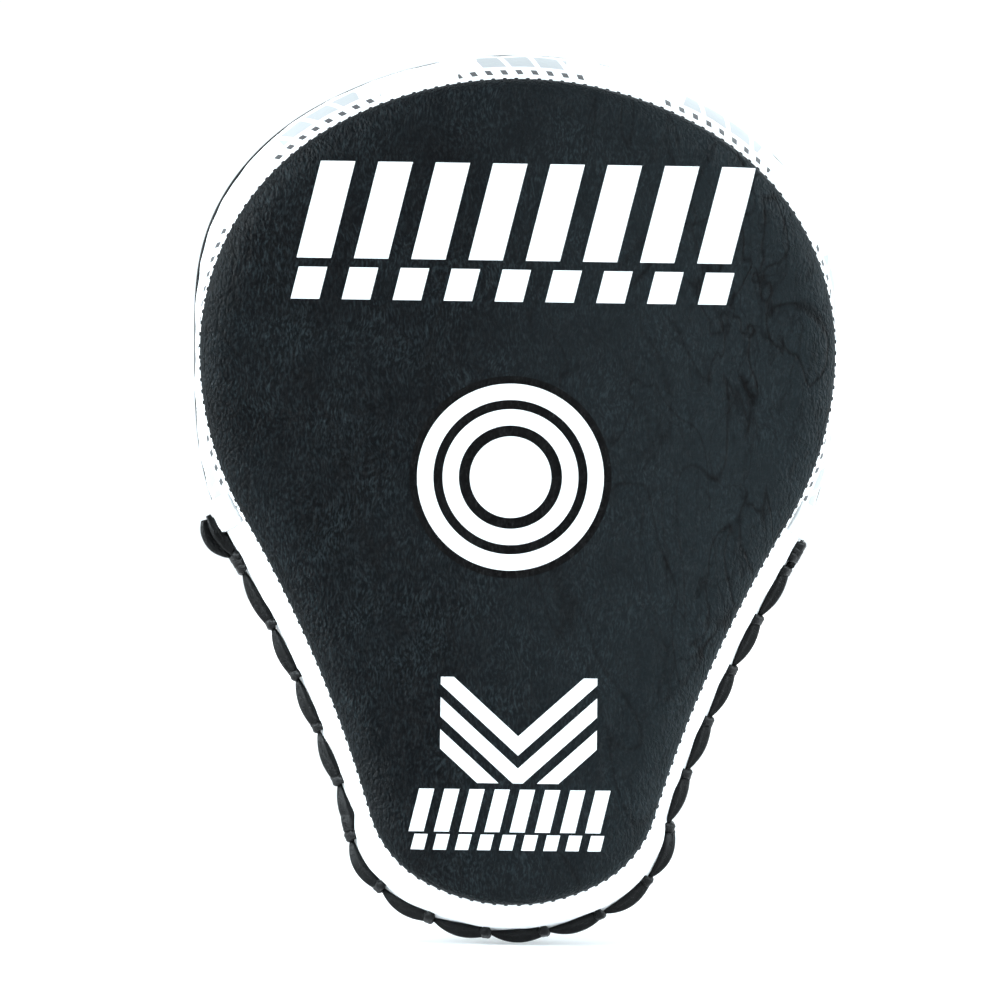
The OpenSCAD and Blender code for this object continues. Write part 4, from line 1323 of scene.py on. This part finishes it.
def thumb_arch(r, foot):
    """Path from the -X foot over the arch to the +X foot."""
    lines = [(Vector((-r * math.cos(a), r * math.sin(a))), Vector((-math.cos(a), math.sin(a))))
             for a in (math.pi * i / 36 for i in range(37))]
    if foot:
        feet = [(Vector((-r - foot * (1 - f) - 0.4, 0.0)), Vector((0.0, 1.0)))
                for f in (0, 0.25, 0.5, 0.75, 0.93)]
        lines[0] = (lines[0][0], Vector((-0.7, 0.7)))
        lines[-1] = (lines[-1][0], Vector((0.7, 0.7)))
        lines = feet + lines + [(Vector((-p.x, 0)), n) for p, n in reversed(feet)]
    return lines


def thumb_puff(s, v):
    edge = THUMB_LEN / 2 - abs(v)
    return 0.35 + 0.3 * lumps((s, v, 0), 9, 6.1) - 0.75 * math.exp(-((edge - 4.5) / 1.0) ** 2)


thumb_grids = band_grids(thumb_arch(THUMB_R + 1.2, 6.6), 0, 1.7, THUMB_LEN / 2, at_thumb, 1.0, (1, 1),
                         thumb_puff, 1.3)
band("thumb_leather", thumb_grids, SOFT_BLACK, "black_leather", ("thumb_sleeve",))
band("thumb_inner_fabric", band_grids(thumb_arch(THUMB_R, 0), 0, 1, THUMB_LEN / 2 - 0.5, at_thumb, 0.8),
     LINING, "lining_fabric", ("thumb_lining",))


def thumb_tape(v):
    line = thumb_arch(THUMB_R + 1.4, 0)
    path = [at_thumb(*p, v) for p, n in line]
    normals = [at_thumb(*(p + n), v) - q for (p, n), q in zip(line, path)]
    return flat_tube(path, lambda k: normals[k], 2.1, 1.5, 12)


new_piece("thumb_edge_tape", *join([thumb_tape(v) for v in (-THUMB_LEN / 2, THUMB_LEN / 2)]),
          TAPE, "binding_tape")
thumb_lines = [grid_line(thumb_grids[0], f) for f in (0.14, 0.86)]
thumb_rows = [row_line(thumb_grids[0], k) for k in (2, len(thumb_grids[0]) - 3)]
thread_on("thumb_stitches", [(p[6:-6], u[6:-6]) for p, u in thumb_lines] + thumb_rows)

# ---- Elastic finger band inside the hood.
BAND_H, BAND_HALF_W, BAND_T, BAND_LEN, BAND_Z = 20, 36, 1.5, 24, 67


def finger_band():
    r = (BAND_HALF_W ** 2 + BAND_H ** 2) / (2 * BAND_H)
    centre = Vector((0, BAND_H - r))
    swing = math.asin(BAND_HALF_W / r)
    path = []
    for f in samples(-1, 1, 0.03):
        n = Vector((math.sin(swing * f), math.cos(swing * f)))
        path.append((centre + r * n, n))
    feet = [(Vector((-BAND_HALF_W - 8 + 2 * i, 0.0)), Vector((0.0, 1.0))) for i in range(4)]
    path = feet + path + [(Vector((-p.x, 0.0)), n) for p, n in reversed(feet)]
    return band_grids(path, 0, BAND_T, BAND_LEN / 2, lambda x, y, z: on_back(x, 0.3 + y, z, BAND_Z), 0.6,
                      (0.8, 0.8), lambda s, v: 0.14 * math.cos(2 * math.pi * v / 3), 0.5)


band("finger_elastic", finger_band(), ELASTIC, "elastic", ("finger_band",))

# ---- Palm ball: a leather dome of four panels around a round one.
BALL_R, ROUND_PANEL, SEAM_SINK, SEAM_WIDTH = 42.4, 21, 0.7, 2.2        # the round panel ends at 21 degrees
BALL_CENTRE = Vector((0, -BALL_R, 0))


def ball_point(radial, turn):
    """Place on the dome; radial is the angle from the crown in degrees."""
    a = math.radians(radial)
    seam_ring = SEAM_SINK * math.exp(-((radial - ROUND_PANEL) / SEAM_WIDTH) ** 2)
    off = math.degrees(min(abs(math.remainder(turn - math.pi / 4, math.pi / 2)), 1)) * math.sin(a)
    seam_spoke = SEAM_SINK * math.exp(-(off / SEAM_WIDTH) ** 2) if radial > ROUND_PANEL else 0
    r = BALL_R + 0.25 - seam_ring - seam_spoke
    way = Vector((math.sin(a) * math.cos(turn), math.cos(a), math.sin(a) * math.sin(turn)))
    return BALL_CENTRE + (r + 0.25 * lumps(r * way, 9, 3.1)) * way


def ball_rings(shrink, highest, step):
    rings = []
    for radial in samples(0.6, highest, step):
        ring = []
        for turn in around(120):
            p = BALL_CENTRE + (ball_point(radial, turn) - BALL_CENTRE) * (1 - shrink / BALL_R)
            p.y = max(p.y, depth_y(PAD_T + 0.2, p.z))
            ring.append(p)
        rings.append(ring)
    return rings


ball_outer = ball_rings(0, 59.5, 1.2)
ball_inner = ball_rings(1.5, 58.5, 4)
new_piece("palm_ball_leather", *loft(ball_outer + list(reversed(ball_inner))), SOFT_BLACK, "black_leather",
          replaces=("palm_ball_cover",))


def ball_seam(places):
    line = [ball_point(radial, turn) for radial, turn in places]
    return seam(line, [unit(p - BALL_CENTRE) for p in line], 3.4, 2.5, 0.7, 0.55)


ball_threads = [ball_seam([(radial, 2 * math.pi * i / 90) for i in range(91)])
                for radial in (ROUND_PANEL - 2.8, ROUND_PANEL + 2.8)]
for quarter in range(4):
    spoke = math.pi / 4 + quarter * math.pi / 2
    for side in (-0.0434, 0.0434):
        ball_threads.append(ball_seam([(radial, spoke + side / math.sin(math.radians(radial)))
                                       for radial in samples(25, 55, 2)]))
new_piece("palm_ball_stitches", *join(ball_threads), GREY_THREAD, "black_leather")


# ---- Wrist cushion: inflated as cloth, then given its sewn edge. Its lengths are in metres.
CUSHION_GROWTH, VOXEL = 1.01, 0.0025
CUSHION_PRESSURE, CUSHION_STEPS = 4, 15
LONGEST_MOVE, CUSHION_FLOOR = 0.0045, 0.0034


def apply(piece, kind, **settings):
    """Adds a modifier with its settings and applies it."""
    modifier = piece.modifiers.new(kind.lower(), kind)
    for key, value in settings.items():
        setattr(modifier, key, value)
    bpy.ops.object.modifier_apply(modifier=modifier.name)


def inflate(piece):
    settings = piece.modifiers.new("cloth", "CLOTH").settings
    settings.use_pressure = True
    settings.uniform_pressure_force = CUSHION_PRESSURE
    settings.effector_weights.gravity = 0
    for step in range(1, CUSHION_STEPS + 1):
        bpy.context.scene.frame_set(step)
    bpy.ops.object.modifier_apply(modifier="cloth")
    bpy.context.scene.frame_set(1)


def wrist_cushion():
    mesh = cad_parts["wrist_pad_foam"].data.copy()
    mesh.name = "wrist_cushion"
    piece = in_scene("wrist_cushion", mesh)
    middle = sum((v.co for v in mesh.vertices), Vector()) / len(mesh.vertices)
    for vertex in mesh.vertices:
        vertex.co = middle + (vertex.co - middle) * CUSHION_GROWTH
    bpy.context.view_layer.objects.active = piece
    piece.select_set(True)
    apply(piece, "REMESH", mode="VOXEL", voxel_size=VOXEL)
    start = [v.co.copy() for v in mesh.vertices]
    inflate(piece)
    lean = math.asin(CUFF_Z / BACK_R)
    origin = at_cuff(0, 0, 0) * MM
    up = Vector((0, math.cos(lean), math.sin(lean)))
    for vertex, home in zip(piece.data.vertices, start):
        move = vertex.co - home
        if move.length > LONGEST_MOVE:
            vertex.co = home + move * (LONGEST_MOVE / move.length)
        height = (vertex.co - origin).dot(up)
        if height < CUSHION_FLOOR:
            vertex.co += up * (CUSHION_FLOOR - height)
    apply(piece, "SUBSURF", levels=1)
    piece.select_set(False)
    piece.data.materials.clear()
    piece.data.materials.append(SOFT_BLACK)
    piece.data.polygons.foreach_set("use_smooth", [True] * len(piece.data.polygons))
    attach(piece, "root")
    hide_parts("wrist_pad_cover", "wrist_pad_foam")


wrist_cushion()


def welt(half_w, half_l, corner, height, radius):
    """Closed piping around the wrist cushion."""
    path = []
    w, l = half_w - corner, half_l - corner
    for cx, cz, first in ((w, l, 0), (-w, l, 90), (-w, -l, 180), (w, -l, 270)):
        for i in range(7):
            a = math.radians(first + 15 * i)
            path.append((cx + corner * math.cos(a), cz + corner * math.sin(a)))
    dense = []
    for a, b in zip(path, path[1:] + path[:1]):
        count = max(1, round(math.dist(a, b) / 2))
        dense += [at_cuff(a[0] + (b[0] - a[0]) * i / count, height, a[1] + (b[1] - a[1]) * i / count)
                  for i in range(count)]
    return tube(dense, [radius] * len(dense), closed=True)


new_piece("wrist_cushion_piping", *welt(30.0, 25.6, 5, 7.5, 1.1), TAPE, "binding_tape", merge=True)


# ---- Stage: pale floor, pale surroundings, soft lights. Its places are in metres.
FLOOR_RADII, FLOOR_SIDES, FLOOR_GAP = (0.05, 0.4, 1.5, 3.2, 5.0), 64, 0.001
FLOOR_LOW, FLOOR_HIGH = (0.93, 0.93, 0.935, 1), (0.95, 0.95, 0.95, 1)
LIGHT_COLOUR, SKY_COLOUR = (0.84, 0.95, 1.0), (0.9, 0.965, 1, 1)
# The surroundings are nearly black on the camera's side, -Y, and bright behind the mitt.
SKY_FADE = {1: -0.9, 2: 0.1, 3: 0.05, 4: 1.14}


def add_floor():
    """Disc under the mitt that glows more the farther it is away, so that it meets the background."""
    low = min(cad_box[0][2], cad_box[1][2]) - FLOOR_GAP
    rings = [[(r * math.cos(a), r * math.sin(a), low) for a in around(FLOOR_SIDES)] for r in FLOOR_RADII]
    points, faces = loft(rings, ends=None)
    mesh = bpy.data.meshes.new("floor")
    mesh.from_pydata(points, [], [face[::-1] for face in faces] + [tuple(range(FLOOR_SIDES))])
    paint = Paint("floor", Specular_IOR_Level=0.1, Roughness=0.9)
    tone = paint.mix(paint.noise(900, 2.0), FLOOR_LOW, FLOOR_HIGH)
    glow = paint.remap(paint.distance(paint.spot), 900, 2600, 0.12, 0.9)
    mesh.materials.append(paint.finish(Base_Color=tone, Emission_Color=tone, Emission_Strength=glow))
    in_scene("floor", mesh)


def add_surroundings():
    world = bpy.data.worlds.new("surroundings")
    world.use_nodes = True
    bpy.context.scene.world = world
    tree = world.node_tree
    coordinates = tree.nodes.new("ShaderNodeTexCoord")
    parts = tree.nodes.new("ShaderNodeSeparateXYZ")
    fade = tree.nodes.new("ShaderNodeMapRange")
    fade.interpolation_type = "SMOOTHSTEP"
    for index, value in SKY_FADE.items():
        fade.inputs[index].default_value = value
    background = tree.nodes["Background"]
    background.inputs[0].default_value = SKY_COLOUR
    tree.links.new(coordinates.outputs["Generated"], parts.inputs[0])
    tree.links.new(parts.outputs[1], fade.inputs[0])
    tree.links.new(fade.outputs[0], background.inputs[1])


def area_light(name, where, aim, size, power, spread):
    data = bpy.data.lights.new(name, "AREA")
    data.shape = "RECTANGLE"
    data.size, data.size_y = size
    data.energy = power
    data.spread = math.radians(spread)
    data.color = LIGHT_COLOUR
    where = Vector(where)
    turn = (where - Vector(aim)).to_track_quat("Z", "Y").to_matrix()
    in_scene(name, data).matrix_world = Matrix.Translation(where) @ turn.to_4x4()


PAD_MIDDLE = (0, -0.05, 0)

# Name, place, aim, size, watts and spread in degrees.
LIGHTS = (("left_softbox", (-1.5, -1.05, 0.6), PAD_MIDDLE, (0.5, 1.3), 4.2, 40),
          ("right_softbox", (1.55, -1.0, 0.5), PAD_MIDDLE, (0.5, 1.2), 3.0, 40),
          ("left_edge_light", (-1.7, 0.1, 0.35), PAD_MIDDLE, (0.4, 1.2), 2.6, 40),
          ("right_edge_light", (1.7, 0.1, 0.3), PAD_MIDDLE, (0.4, 1.2), 1.7, 40),
          ("top_light", (0, 1.6, 2.6), (0, 1.2, 0), (3.0, 2.4), 6.5, 180),
          ("back_light", (0.6, 1.6, 1.0), (0, 0, 0), (0.9, 0.9), 8, 180))

add_floor()
add_surroundings()
for light in LIGHTS:
    area_light(*light)
